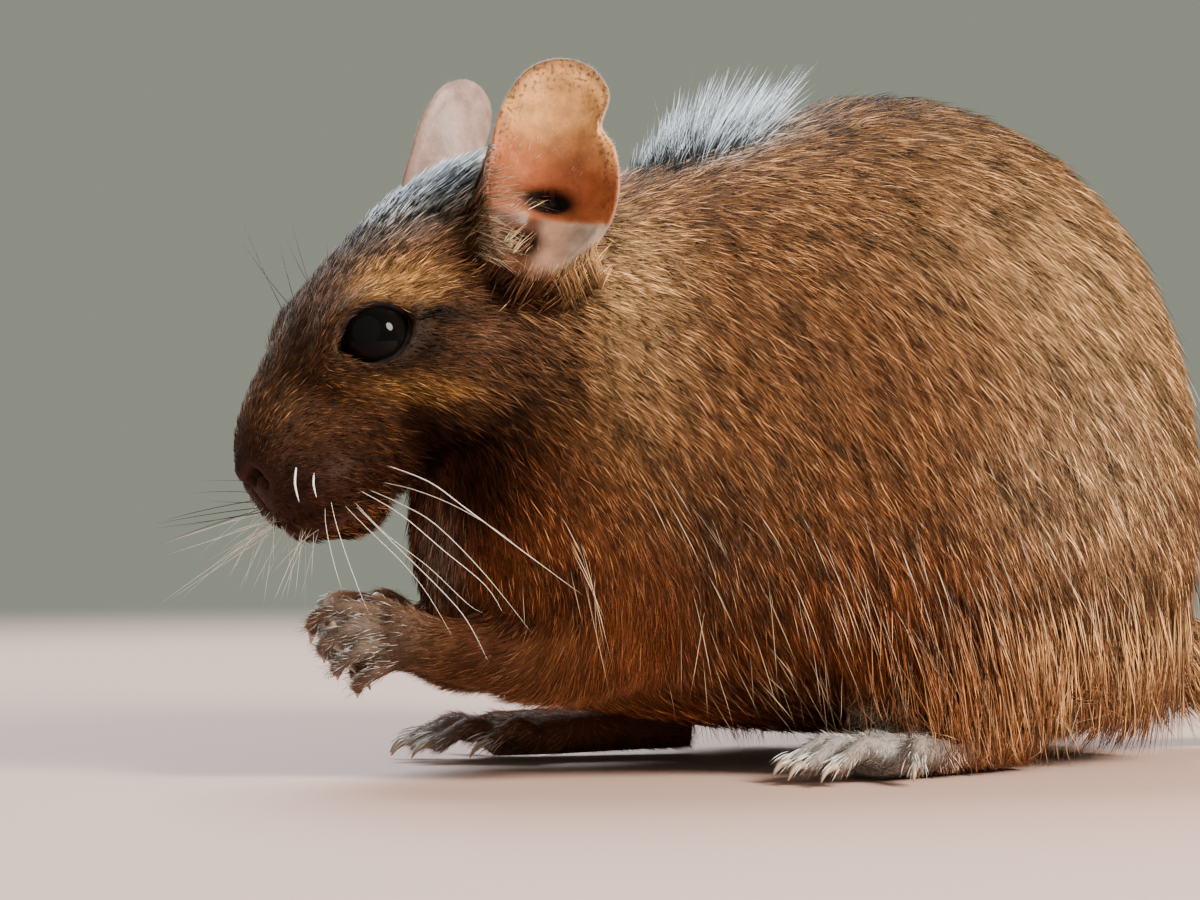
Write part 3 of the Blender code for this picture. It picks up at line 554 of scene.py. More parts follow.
# %% Sink the skin under the coat
COAT_SHARE = 0.27
SINK_FROM, SINK_FULL = 5.4, 8.5  # distances from the eye's middle
HAND_SINK = 0.22
EYES = np.array([EYE, EYE * [-1, 1, 1]])
skin_points = millimetres(points_of(skin.data))
_, hair_length, _ = combed(skin_points)
from_eye = np.min([np.linalg.norm(skin_points - eye, axis=1) for eye in EYES], axis=0)
depth = COAT_SHARE * hair_length * smoothstep(SINK_FROM, SINK_FULL, from_eye)
depth *= 1 - 0.9 * smoothstep(1.5, 0.0, skin_points[:, 2])
skin_region = regions(skin_points)
depth = np.where(in_regions(skin_region, "hand", "foot"), np.minimum(depth, HAND_SINK), depth)
set_points(skin.data, metres(skin_points - normals_of(skin.data) * depth[:, None]))
ease = skin.modifiers.new("ease", "SMOOTH")
ease.factor = EASING_STEP
ease.iterations = LAST_EASING
apply_modifiers(skin)
print("sunk to", round(float(depth.max()), 2), "mm")

# %% Carve the nose and the mouth
KEPT_FACES = 0.3  # of the fused skin, which is finer than it has to be
LOWEST_SKIN = 0.02  # above the floor, in mm
# points of a line (mm), its half width and its depth
LEFT_GROOVES = [
    ([(0.9, -66.2, 33.0), (1.7, -65.8, 34.2), (2.5, -65.2, 34.2), (2.9, -64.6, 33.6)], 0.48, 1.3),
    ([(0.0, -63.4, 28.4), (1.6, -62.6, 27.4), (3.2, -60.4, 27.2), (4.4, -57.8, 28.2),
      (4.6, -55.4, 29.6)], 0.50, 1.1),
]
MIDDLE_GROOVES = [([(0.0, -66.4, 32.6), (0.0, -65.4, 31.0), (0.0, -63.4, 28.4)], 0.40, 0.7)]


def laid_on_skin(line):
    """Close points along a bent line, each moved to the nearest point of the skin, and its normal."""
    fine = np.array(smooth_rows(line, 5))
    nearest = [int(np.argmin(((skin_points - point) ** 2).sum(axis=1))) for point in fine]
    return skin_points[nearest], skin_normals[nearest]


def from_line(points, line):
    """How far each point is from a bent line."""
    nearest = np.full(len(points), np.inf)
    for a, b in zip(line[:-1], line[1:]):
        along = b - a
        share = np.clip((points - a) @ along / max(along @ along, 1e-9), 0, 1)
        nearest = np.minimum(nearest, np.linalg.norm(points - a - share[:, None] * along, axis=1))
    return nearest


skin_points = millimetres(points_of(skin.data))
skin_normals = normals_of(skin.data)
mirrored_lines = [([(-x, y, z) for x, y, z in line], wide, deep) for line, wide, deep in LEFT_GROOVES]
GROOVES = []
for line, wide, deep in LEFT_GROOVES + mirrored_lines + MIDDLE_GROOVES:
    places, out = laid_on_skin(line)
    GROOVES.append((places, places - out * deep, wide, deep))


def groove_share(points, wider=1.0):
    """1 in the grooves of nose and mouth, 0 away from them."""
    share = np.zeros(len(points))
    for brim, bottom, wide, _ in GROOVES:
        away = np.minimum(from_line(points, brim), from_line(points, bottom))
        share = np.maximum(share, np.exp(-((away / (wide * wider)) ** 2)))
    return share


carve = np.zeros(len(skin_points))
for brim, _, wide, deep in GROOVES:
    carve = np.maximum(carve, deep * np.exp(-((from_line(skin_points, brim) / wide) ** 2)))
skin_points = skin_points - skin_normals * carve[:, None]
skin_points[:, 2] = np.maximum(skin_points[:, 2], LOWEST_SKIN)
set_points(skin.data, metres(skin_points))
thin_out = skin.modifiers.new("thin_out", "DECIMATE")
thin_out.ratio = KEPT_FACES
apply_modifiers(skin)
print("skin faces:", len(skin.data.polygons), "grooves:", len(GROOVES))

# %% [markdown]
# ## Markings
# The colours change softly over the body: golden flanks, rust below, a silver crown and
# nape whose blue-white is partly painted sheen, a dark muzzle, and buff marks above and
# below the eye. They are painted once, as soft round patches over a base, and skin and hair
# both ask the same function.

# %% Write the patches
# x, y, z, then three radii (mm), the colour, and how strong it is at its middle
GOLD = (0.31, 0.145, 0.055)
TAN = (0.78, 0.46, 0.21)
AMBER = (0.36, 0.140, 0.045)
RUST = (0.46, 0.135, 0.038)
CHESTNUT = (0.16, 0.036, 0.011)
UMBER = (0.034, 0.009, 0.004)
DARK = (0.022, 0.014, 0.011)
SILVER_AND_SHEEN = (0.55, 0.60, 0.64)
GREY = (0.20, 0.19, 0.185)
BUFF = (0.66, 0.32, 0.10)
PALE = (0.62, 0.55, 0.47)
# the grooves' near black is painted shade in the nostrils, the mouth line and the lip's cleft
LIP_SKIN, GROOVE_SHADE = (0.16, 0.06, 0.045), (0.03, 0.012, 0.01)
PATCHES = [
    (0, 20, 66, 40, 34, 20, GOLD, 0.9),
    # paler upper haunch: partly pale hair, partly painted light on the key lamp's side
    (26, 24, 50, 16, 20, 18, TAN, 0.8),
    (0, 14, 80, 18, 40, 10, (0.085, 0.048, 0.028), 0.88),
    (0, 44, 46, 24, 12, 22, TAN, 0.7),
    # paler haunch: partly pale guard hairs, partly painted light on the key lamp's side
    (30, 20, 34, 12, 14, 12, (0.90, 0.58, 0.33), 0.75),
    (26, 0, 42, 14, 18, 14, AMBER, 0.75),
    (24, -24, 40, 12, 10, 12, AMBER, 0.6),
    (28, 0, 16, 14, 26, 12, RUST, 0.85),
    (28, 26, 18, 14, 16, 14, TAN, 0.45),
    (0, -40, 28, 26, 12, 12, (0.36, 0.085, 0.022), 0.85),
    # painted shade on the chest under the shoulder, behind the elbow
    (27, -24, 27, 7, 8, 8, (0.10, 0.034, 0.014), 0.6),
    (29, -17, 21, 6, 6, 4, (0.08, 0.028, 0.012), 0.6),
    (17, -28, 44, 8, 7, 12, (0.50, 0.28, 0.12), 0.6),
    (0, -18, 4, 24, 26, 8, RUST, 0.8),
    (15, -30, 58, 9, 8, 12, TAN, 0.7),
    (8, -50, 46, 12, 16, 16, UMBER, 0.75),
    (13, -42, 46, 6, 9, 8, (0.15, 0.068, 0.034), 0.75),
    (10, -46, 35, 7, 8, 7, UMBER, 0.85),
    (0, -66, 33, 10, 9, 8, UMBER, 0.95),
    (0, -63, 28, 8, 8, 5, CHESTNUT, 0.35),
    (6.5, -59.5, 33, 6.5, 8, 7, UMBER, 0.85),
    (0, -61, 46, 7, 7, 8, (0.13, 0.062, 0.032), 0.75),
    (8.5, -53.5, 54.6, 4, 6.0, 2.8, BUFF, 0.95),
    (10.5, -50.5, 43.6, 4, 6.5, 1.7, BUFF, 0.75),
    (9.5, -54.4, 48.8, 5.2, 6.0, 4.9, (0.012, 0.008, 0.006), 0.98),
    (11.5, -48.8, 51.4, 3.0, 2.6, 0.9, (0.012, 0.008, 0.006), 0.95),
    (0, -50, 60, 6.5, 10, 7, GREY, 0.8),
    # blue-white crown and silver nape: silver fur, partly painted sheen
    (0, -46, 65, 6.5, 10, 5.5, (0.62, 0.70, 0.78), 0.9),
    (0, -13, 73, 6.5, 9, 9, SILVER_AND_SHEEN, 0.95),
    (17, -29, 20, 8, 9, 9, RUST, 0.6),
    (10, -42, 14, 6, 6, 5, (0.17, 0.055, 0.028), 0.8),
    (6, -52, 15, 5, 5, 6, (0.19, 0.115, 0.08), 0.95),
    (5, -57.5, 15, 5, 3.4, 6, (0.38, 0.31, 0.265), 0.85),
    (0, -46, 25, 7, 4, 7, PALE, 0.55),
    (25, -4, 3, 9, 12, 4.5, (0.80, 0.78, 0.75), 0.97),
    # the far foot is painted darker than the near one: painted shade under the body
    (-18, -34, 3, 8, 14, 4.5, (0.22, 0.13, 0.10), 0.9),
    (-19, -41, 3, 7, 4.5, 4, (0.78, 0.73, 0.67), 0.9),
    (0, 60, 10, 10, 12, 6, (0.14, 0.095, 0.07), 0.9),
    (-10, 84, 5, 14, 18, 4, (0.09, 0.06, 0.045), 0.9),
    (-26, 103, 5, 14, 14, 7, (0.07, 0.045, 0.033), 0.9),
    (-45, 116, 5, 26, 12, 8, DARK, 1.0),
    (-3, 66, 0, 12, 20, 3.2, (0.42, 0.36, 0.31), 0.85),
]
BASE = (0.28, 0.115, 0.040)
FEET_HEIGHT = 8  # the patches below it are for one foot only
mirrored = [(-p[0], *p[1:]) for p in PATCHES if p[0] > 0 and p[2] > FEET_HEIGHT]
MARKS = PATCHES + mirrored


def markings(points):
    """The coat's colour (linear red, green, blue) at points in mm."""
    colour = np.tile(np.array(BASE), (len(points), 1))
    for mark in MARKS:
        away = (((points - mark[:3]) / mark[3:6]) ** 2).sum(axis=1)
        share = (mark[7] * np.exp(-(away**1.4)))[:, None]
        colour = colour * (1 - share) + np.array(mark[6]) * share
    return colour


def paint(mesh, name, colours):
    """Stores one colour per point of a mesh."""
    layer = mesh.attributes.new(name, "FLOAT_COLOR", "POINT")
    rgba = np.ones((len(colours), 4))
    rgba[:, :3] = colours
    layer.data.foreach_set("color", rgba.ravel())


def number(mesh, name, values):
    """Stores one number per point of a mesh."""
    layer = mesh.attributes.new(name, "FLOAT", "POINT")
    layer.data.foreach_set("value", np.asarray(values, dtype=float))


skin_points = millimetres(points_of(skin.data))
# painted shade in the grooves of nose and mouth
painted_groove_shade = np.minimum(1, 1.3 * groove_share(skin_points, 1.2))[:, None]
bare_lips = 0.7 * groove_share(skin_points, 3.0)[:, None]
skin_tints = markings(skin_points) * (1 - bare_lips) + np.array(LIP_SKIN) * bare_lips
paint(skin.data, "tint", skin_tints * (1 - painted_groove_shade) + np.array(GROOVE_SHADE) * painted_groove_shade)
print("patches:", len(MARKS))

# %% [markdown]
# ## Materials
# Rodent hair is banded: dark at the root, pale towards the tip and dark again at the very
# end, which gives the ticked look. One shader group turns a marking, the place along the
# hair and a number for each hair into its colour, and every kind of hair uses it.

# %% Build the banding group
def group_socket(group, name, kind, default=None, out=False):
    """A named socket of a node group."""
    socket = group.interface.new_socket(name, in_out="OUTPUT" if out else "INPUT", socket_type=kind)
    if default is not None:
        socket.default_value = default
    return socket


def noise_of_size(tree, size, detail=2.0):
    """A noise whose spots are about size mm, the same on every object."""
    place = node(tree, "ShaderNodeTexCoord")
    made = node(tree, "ShaderNodeTexNoise", {"Scale": 1 / (size * MM), "Detail": detail})
    link(place, "Object", made, "Vector")
    return made


def attribute(tree, name):
    """A node that reads a value stored on the mesh."""
    return node(tree, "ShaderNodeAttribute", attribute_name=name)


def bump_into(surface, height, strength, depth):
    """Fine relief on a surface from a texture's grey; depth in mm."""
    bump = node(surface.id_data, "ShaderNodeBump", {"Strength": strength, "Distance": depth * MM})
    link(height, "Fac", bump, "Height")
    link(bump, "Normal", surface, "Normal")


def banding_group():
    """The group that colours banded hair."""
    group = bpy.data.node_groups.new("banded_hair", "ShaderNodeTree")
    group_socket(group, "Marking", "NodeSocketColor", (0.5, 0.3, 0.1, 1))
    group_socket(group, "Along", "NodeSocketFloat", 0.5)
    group_socket(group, "Seed", "NodeSocketFloat", 0.5)
    group_socket(group, "Root Shade", "NodeSocketFloat", 0.3)
    group_socket(group, "Tip Shade", "NodeSocketFloat", 0.5)
    group_socket(group, "Spread", "NodeSocketFloat", 0.5)
    group_socket(group, "Colour", "NodeSocketColor", out=True)
    given = node(group, "NodeGroupInput")
    out = node(group, "NodeGroupOutput")
    paling = {"From Min": 0.05, "From Max": 0.6, "To Max": 1.0}
    rise = node(group, "ShaderNodeMapRange", paling, interpolation_type="SMOOTHSTEP")
    link(given, "Along", rise, "Value")
    link(given, "Root Shade", rise, "To Min")
    darkening = {"From Min": 0.72, "From Max": 1.0, "To Min": 1.0}
    fall = node(group, "ShaderNodeMapRange", darkening, interpolation_type="SMOOTHSTEP")
    link(given, "Along", fall, "Value")
    link(given, "Tip Shade", fall, "To Max")
    band = node(group, "ShaderNodeMath", operation="MULTIPLY")
    link(rise, "Result", band, 0)
    link(fall, "Result", band, 1)
    centred = node(group, "ShaderNodeMath", {1: 0.5}, operation="SUBTRACT")
    link(given, "Seed", centred, 0)
    spread = node(group, "ShaderNodeMath", {2: 1.0}, operation="MULTIPLY_ADD")
    link(centred, "Value", spread, 0)
    link(given, "Spread", spread, 1)
    amount = node(group, "ShaderNodeMath", operation="MULTIPLY")
    link(band, "Value", amount, 0)
    link(spread, "Value", amount, 1)
    scaled = node(group, "ShaderNodeVectorMath", operation="SCALE")
    link(given, "Marking", scaled, "Vector")
    link(amount, "Value", scaled, "Scale")
    link(scaled, "Vector", out, "Colour")
    return group


BANDING = banding_group()
print("group:", BANDING.name)


# %% Mix the hair materials
def hair_material(name, root_shade, tip_shade, spread, roughness, shine=0.2):
    """Banded hair with its own shades."""
    made, surface = plain_material(name, BASE, roughness)
    tree = made.node_tree
    shades = {"Root Shade": root_shade, "Tip Shade": tip_shade, "Spread": spread}
    band = node(tree, "ShaderNodeGroup", node_tree=BANDING)
    set_inputs(band, shades)
    link(attribute(tree, "tint"), "Color", band, "Marking")
    link(attribute(tree, "along"), "Fac", band, "Along")
    link(attribute(tree, "seed"), "Fac", band, "Seed")
    link(band, "Colour", surface, "Base Color")
    set_inputs(surface, {"Specular IOR Level": shine})
    return made


ticked_coat = hair_material("ticked_coat", 0.10, 0.50, 0.8, 0.5)
face_coat = hair_material("face_coat", 0.15, 0.60, 0.8, 0.5, 0.1)
pale_hair = hair_material("pale_hair", 0.45, 1.05, 0.5, 0.4)
# silver fur whose tips are paler than the marking: partly painted sheen
silver_and_sheen_hair = hair_material("silver_and_sheen_hair", 0.06, 1.1, 0.6, 0.3, 0.6)
brush_hair = hair_material("brush_hair", 0.7, 0.7, 0.8, 0.4)
whisker_hair = hair_material("whisker_hair", 1.0, 1.0, 0.2, 0.3)
print("hair materials: 6")


# %% Mix the skin material
SKIN_SHADE = 0.35  # of the coat's colour


def skin_material():
    """Skin below the coat: the marking's colour, darker, with a fine grain."""
    made, surface = plain_material("skin_below_coat", BASE, 0.6)
    tree = made.node_tree
    scaled = node(tree, "ShaderNodeVectorMath", {"Scale": SKIN_SHADE}, operation="SCALE")
    link(attribute(tree, "tint"), "Color", scaled, "Vector")
    link(scaled, "Vector", surface, "Base Color")
    bump_into(surface, noise_of_size(tree, 0.6), 0.4, 0.2)
    set_inputs(surface, {"Specular IOR Level": 0.1})
    return made


def dress(obj, material, slot, *replaced):
    """Gives a piece its material, fixes it to the body and hides the solids it replaces; slot is not
    used.
    """
    obj.data.materials.clear()
    obj.data.materials.append(material)
    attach(obj, "root")
    if replaced:
        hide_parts(*replaced)


shade_smooth(skin.data)
dress(skin, skin_material(), "coat", *FLESH, "tail_tip")
print("skin replaces:", len(FLESH) + 1, "solids")

# %% [markdown]
# ## Hairs as solid mesh
# Particle hair is lost in an export, so each hair here is a small closed prism with a
# pointed tip. They are made all at once with arrays: every hair is a bent line, rings of
# points stand round the line, and faces join the rings. Each hair also stores where along
# it a point is, a number of its own, and the marking at its root.

# %% Spread roots over the skin
def unwrapped(points, low, high):
    """Places on an unwrap of the body round its long axis, for points in mm."""
    core = 0.5 * (low + high)
    turn = np.arctan2(points[:, 0] - core[0], points[:, 2] - core[2]) / math.tau + 0.5
    run = (points[:, 1] - low[1]) / max(high[1] - low[1], 1e-6)
    return np.stack([0.02 + 0.96 * turn, 0.02 + 0.96 * run], axis=1)


skin.data.calc_loop_triangles()
corners = np.empty(len(skin.data.loop_triangles) * 3, dtype=int)
skin.data.loop_triangles.foreach_get("vertices", corners)
corners = corners.reshape(-1, 3)
skin_points = millimetres(points_of(skin.data))
skin_normals = normals_of(skin.data)
triangle_points = skin_points[corners]
edge_one = triangle_points[:, 1] - triangle_points[:, 0]
edge_two = triangle_points[:, 2] - triangle_points[:, 0]
triangle_area = 0.5 * np.linalg.norm(np.cross(edge_one, edge_two), axis=1)
triangle_middle = triangle_points.mean(axis=1)
triangle_region = regions(triangle_middle)


def roots_on_skin(chosen, per_square_mm, extra_weight=None):
    """Random roots and their normals on the chosen triangles of the skin."""
    weight = triangle_area * chosen
    if extra_weight is not None:
        weight = weight * extra_weight
    count = int(weight.sum() * per_square_mm * share_of_coat)
    picked = rng.choice(len(weight), count, p=weight / weight.sum())
    a, b = rng.random(count), rng.random(count)
    over = a + b > 1
    a[over], b[over] = 1 - a[over], 1 - b[over]
    shares = np.stack([1 - a - b, a, b], axis=1)[:, :, None]
    roots = (skin_points[corners[picked]] * shares).sum(axis=1)
    normals = unit((skin_normals[corners[picked]] * shares).sum(axis=1))
    return roots, normals


print("skin area in square mm:", int(triangle_area.sum()))


# %% Keep hairs on the skin
skin_tree = BVHTree.FromPolygons([Vector(p) for p in skin_points], [tuple(c) for c in corners])


def held_off(points, low, high):
    """Points in mm moved off the skin, to between low and high above it."""
    moved = points.copy()
    for index, point in enumerate(points):
        spot, normal, _, _ = skin_tree.find_nearest(point)
        height = (Vector(point) - spot).dot(normal)
        wanted = min(max(height, low[index]), high[index])
        moved[index] += np.array(normal) * (wanted - height)
    return moved


print("faces in the skin's tree:", len(corners))

# %% [markdown]
# A hair that starts in a crease would run into the flesh on its other side, so each point
# of a hair is measured against the skin and held off it. The same measure keeps the coat
# close where the body curves away below it.

# %% Turn hairs into mesh
FLOOR_CLEARANCE = 0.12
ROOT_DEPTH = 0.25
MOST_TRIANGLES = 190_000  # of one piece
PATCH_SIZE = 0.003  # of one hair in the unwrap
# how thick a hair is from its root to its tip
TAPER_PLACES, TAPER = (0, 0.3, 0.7, 1), (0.75, 1.0, 0.8, 0.0)


def hair_lines(roots, normals, ways, lengths, lifts, steps, droop, loose):
    """Points along each hair from its sunk root to its tip, the way it starts and its up."""
    flat = unit(ways - normals * (ways * normals).sum(axis=1)[:, None])
    first = flat * np.cos(lifts)[:, None] + normals * np.sin(lifts)[:, None]
    last = flat * np.cos(lifts * 0.35)[:, None] + normals * np.sin(lifts * 0.35)[:, None]
    last = unit(last - np.array([0, 0, 1.0]) * droop)
    lines = [roots - normals * ROOT_DEPTH]
    for step in range(1, steps):
        place = step / (steps - 1)
        reach = place * first + 0.5 * place**2 * (last - first)
        points = roots + reach * lengths[:, None]
        low = (0.10 * place + 0.03) * lengths
        high = (0.36 * place + loose) * lengths
        lines.append(held_off(points, low, high))
    lines = np.stack(lines, axis=1)
    lines[:, :, 2] = np.maximum(lines[:, :, 2], FLOOR_CLEARANCE)
    return lines, first, normals


def hair_faces(steps, sides):
    """The faces of one hair: quads between its rings, then triangles at its tip and root."""
    quads, tris = [], []
    for step in range(steps - 2):
        low, high = step * sides, (step + 1) * sides
        for k in range(sides):
            n = (k + 1) % sides
            quads.append((low + k, low + n, high + n, high + k))
    last_ring, tip = (steps - 2) * sides, (steps - 1) * sides
    for k in range(sides):
        tris.append((last_ring + k, last_ring + (k + 1) % sides, tip))
    for k in range(1, sides - 1):
        tris.append((0, k + 1, k))
    return quads, tris


def hair_mesh(name, lines, first, up, widths, tints, sides=3):
    """One object of many hairs along lines of points; sizes in mm."""
    count, steps = lines.shape[:2]
    side = unit(np.cross(first, up))
    other = unit(np.cross(side, first))
    places = np.linspace(0, 1, steps)
    thick = np.interp(places, TAPER_PLACES, TAPER)
    rings = []
    for step in range(steps - 1):
        for k in range(sides):
            turn = math.tau * k / sides
            spoke = side * math.cos(turn) + other * math.sin(turn)
            rings.append(lines[:, step] + spoke * (0.5 * widths * thick[step])[:, None])
    rings.append(lines[:, -1])
    points = np.stack(rings, axis=1)
    points[:, :, 2] = np.maximum(points[:, :, 2], FLOOR_CLEARANCE / 2)
    per_hair = points.shape[1]
    quads, tris = hair_faces(steps, sides)
    faces = [np.array(kind) for kind in (quads, tris) if kind]
    starts = (np.arange(count) * per_hair)[:, None]
    loops = np.concatenate([starts + kind.reshape(1, -1) for kind in faces], axis=1)
    totals = np.tile(np.array([4] * len(quads) + [3] * len(tris)), count)
    mesh = bpy.data.meshes.new(name)
    mesh.vertices.add(count * per_hair)
    mesh.vertices.foreach_set("co", metres(points.reshape(-1, 3)).ravel())
    mesh.loops.add(loops.size)
    mesh.loops.foreach_set("vertex_index", loops.ravel())
    mesh.polygons.add(len(totals))
    mesh.polygons.foreach_set("loop_start", np.concatenate([[0], np.cumsum(totals)[:-1]]))
    shade_smooth(mesh)
    mesh.update(calc_edges=True)
    along = np.tile(np.append(np.repeat(places[:-1], sides), 1.0), count)
    number(mesh, "along", along)
    number(mesh, "seed", np.repeat(rng.random(count), per_hair))
    paint(mesh, "tint", np.repeat(tints, per_hair, axis=0))
    roots = lines[:, 0]
    patch = np.repeat(unwrapped(roots, roots.min(axis=0), roots.max(axis=0)), per_hair, axis=0)
    round_it = np.tile(np.append(np.tile(np.arange(sides) / sides, steps - 1), 0.5), count)
    patch += PATCH_SIZE * (np.stack([round_it, along], axis=1) - 0.5)
    layer = mesh.uv_layers.new(name="OFBake")
    layer.uv.foreach_set("vector", patch[loops.ravel()].ravel())
    obj = new_object(name, mesh)
    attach(obj, "root")
    return obj


print("faces of one hair of three rings:", sum(len(kind) for kind in hair_faces(4, 3)))


# %% Tick the hairs
PALE_TICK = np.array([0.72, 0.45, 0.22])
DARK_SHARE, PALE_SHARE = 0.28, 0.13


def ticked(tints, dark=DARK_SHARE, pale=PALE_SHARE):
    """The markings hair by hair: some hairs dark, some pale, most near the marking."""
    draw = rng.random(len(tints))
    silvery = smoothstep(0.15, 0.4, tints[:, 2])
    dark = dark + 0.3 * silvery
    factor = rng.uniform(0.7, 1.2, len(tints))
    factor = np.where(draw < dark, rng.uniform(0.10, 0.38, len(tints)), factor)
    pale_hairs = 1.25 * tints + 0.36 * PALE_TICK * smoothstep(0.02, 0.25, tints[:, [0]])
    return np.where((draw > 1 - pale)[:, None], pale_hairs, tints * factor[:, None])


def shaded(colour, count, low, high):
    """One colour for count hairs, each in its own shade between low and high."""
    return np.tile(colour, (count, 1)) * rng.uniform(low, high, (count, 1))


print("usual shares of dark and pale hairs:", DARK_SHARE, PALE_SHARE)


# %% Comb hairs into pieces
WAVE_SIZE, WAVE_STRENGTH = 3.5, 0.16


def grow(name, material, roots, normals, width, steps=3, longer=1.0, lift=1.0, droop=0.15,
         loose=0.02, ruffle=0.16, tints=None, ways=None, lengths=None, lifts=None):
    """Hairs at the roots, in as many pieces as their triangles need; the comb fills what isn't given."""
    combed_ways, combed_lengths, combed_lifts = combed(roots)
    ways = combed_ways if ways is None else ways
    lengths = combed_lengths * longer if lengths is None else lengths
    lifts = combed_lifts * lift if lifts is None else lifts
    tints = markings(roots) if tints is None else tints
    waves = np.array([noise.noise_vector(Vector(root) / WAVE_SIZE) for root in roots])
    ways = unit(ways + rng.normal(0, ruffle, ways.shape) + WAVE_STRENGTH * waves)
    lengths = lengths * rng.uniform(0.7, 1.15, len(lengths))
    lifts = lifts * rng.uniform(0.5, 1.5, len(lifts))
    widths = width * rng.uniform(0.75, 1.2, len(lengths))
    lines, first, up = hair_lines(roots, normals, ways, lengths, lifts, steps, droop, loose)
    quads, tris = hair_faces(steps, 3)
    per_hair = 2 * len(quads) + len(tris)
    pieces = max(1, math.ceil(len(roots) * per_hair / MOST_TRIANGLES))
    order = np.argsort(roots[:, 1])
    for piece, chosen in enumerate(np.array_split(order, pieces)):
        label = name if pieces == 1 else f"{name}_{piece + 1}"
        obj = hair_mesh(label, lines[chosen], first[chosen], up[chosen], widths[chosen], tints[chosen])
        obj.data.materials.append(material)
    print(name, "hairs:", len(roots), "pieces:", pieces)


# %% [markdown]
# ## The coat, region by region
# Body hair is longest on the haunches and rump. On the face it is fine and short, so it
# is thinner and denser there. Dark mottling comes from a slow noise that darkens whole
# groups of hairs, as clumps of dark-tipped hairs do on the animal.

# %% Grow the body coat
STREAK_STRETCH = 0.45


def mottled(roots, size, strength, slope=-45):
    """How much groups of hairs are darkened, by a noise in streaks this wide (mm), at this slope."""
    c, s = math.cos(math.radians(slope)), math.sin(math.radians(slope))
    along = (roots[:, 1] * c + roots[:, 2] * s) * STREAK_STRETCH
    across = roots[:, 2] * c - roots[:, 1] * s
    places = np.stack([roots[:, 0], along, across], axis=1) / size
    values = np.array([noise.noise(Vector(place)) for place in places])
    return 1 - strength * smoothstep(0.0, 0.45, values)


# hairs in a square mm, their width, points along a hair, and shares of the comb's length and lift
BODY_COATS = [("body_coat", 1.6, 0.11, 3, 0.62, 1.35), ("under_coat", 8.1, 0.13, 2, 0.48, 1.25)]
BELLY_THINNING = 0.6
# the coat would grow through an ear where its canal meets the head
CANAL_ROOTS = [(9.5, -34.6, 63.4), (9.6, -37.8, 58.4)]
CANAL_REACH = 4.0
on_left = triangle_middle.copy()
on_left[:, 0] = abs(on_left[:, 0])
from_canal = [np.linalg.norm(on_left - spot, axis=1) for spot in CANAL_ROOTS]
off_canal = (np.min(from_canal, axis=0) > CANAL_REACH).astype(float)
is_body = in_regions(triangle_region, "torso", "neck", "thigh") * off_canal
belly = smoothstep(9, 4, triangle_middle[:, 2]) * (abs(triangle_middle[:, 0]) < 20)
for name, density, width, steps, longer, lift in BODY_COATS:
    roots, normals = roots_on_skin(is_body, density, 1 - BELLY_THINNING * belly)
    streaks = mottled(roots, 1.1, 0.65) * mottled(roots, 3.4, 0.45)
    tints = ticked(markings(roots) * streaks[:, None], 0.37, 0.20)
    grow(name, ticked_coat, roots, normals, width, steps=steps, longer=longer, lift=lift,
         tints=tints)

# %% Grow the coat of the arms
is_arm = in_regions(triangle_region, "foreleg").astype(float)
roots, normals = roots_on_skin(is_arm, per_square_mm=11.0)
tints = ticked(markings(roots))
grow("arm_coat", ticked_coat, roots, normals, width=0.13, steps=2, longer=0.8, tints=tints)

# %% Grow the face
NOSE = np.array([0, -65.6, 33.6])
BARE_ROUND_EYE = 5.0
BARE_GROOVE = 0.35
PAD_EDGE, PAD_MIDDLE, PAD_THINNING = 2.8, 1.4, 0.85
is_head = in_regions(triangle_region, "head") * off_canal
eye_distance = np.min([np.linalg.norm(triangle_middle - eye, axis=1) for eye in EYES], axis=0)
is_head *= eye_distance > BARE_ROUND_EYE
is_head *= groove_share(triangle_middle, 1.1) < BARE_GROOVE
on_pad = smoothstep(PAD_EDGE, PAD_MIDDLE, np.linalg.norm(triangle_middle - NOSE, axis=1))
is_head *= 1 - PAD_THINNING * on_pad


def face_lengths(roots):
    """The comb's lengths, shorter round the nose and along the lips."""
    near = smoothstep(5.5, 2.0, np.linalg.norm(roots - NOSE, axis=1))
    return combed(roots)[1] * (1 - 0.6 * near) * (1 - 0.5 * groove_share(roots, 2.5))


crown = smoothstep(0.16, 0.30, markings(triangle_middle)[:, 2]) * (triangle_middle[:, 2] > 50)
roots, normals = roots_on_skin(is_head * crown, per_square_mm=9.0)
# the crown's silver hair is brightened here: partly painted sheen
tints = markings(roots) * mottled(roots, 0.8, 0.9, slope=40)[:, None] * 1.15
grow("crown_coat", silver_and_sheen_hair, roots, normals, width=0.20, longer=0.85, lift=1.3,
     ruffle=0.07, tints=ticked(tints, dark=0.4, pale=0.05))
roots, normals = roots_on_skin(is_head * (1 - crown), per_square_mm=3.2)
tints = markings(roots) * mottled(roots, 1.1, 0.65, slope=0)[:, None]
grow("face_coat", face_coat, roots, normals, width=0.09,
     tints=ticked(tints, dark=0.36, pale=0.10), lengths=face_lengths(roots))
roots, normals = roots_on_skin(is_head * (1 - crown), per_square_mm=14.0)
tints = markings(roots) * mottled(roots, 1.1, 0.65, slope=0)[:, None]
grow("face_under_coat", face_coat, roots, normals, width=0.11, steps=2,
     tints=ticked(tints, dark=0.40, pale=0.07), lengths=face_lengths(roots) * 0.75)

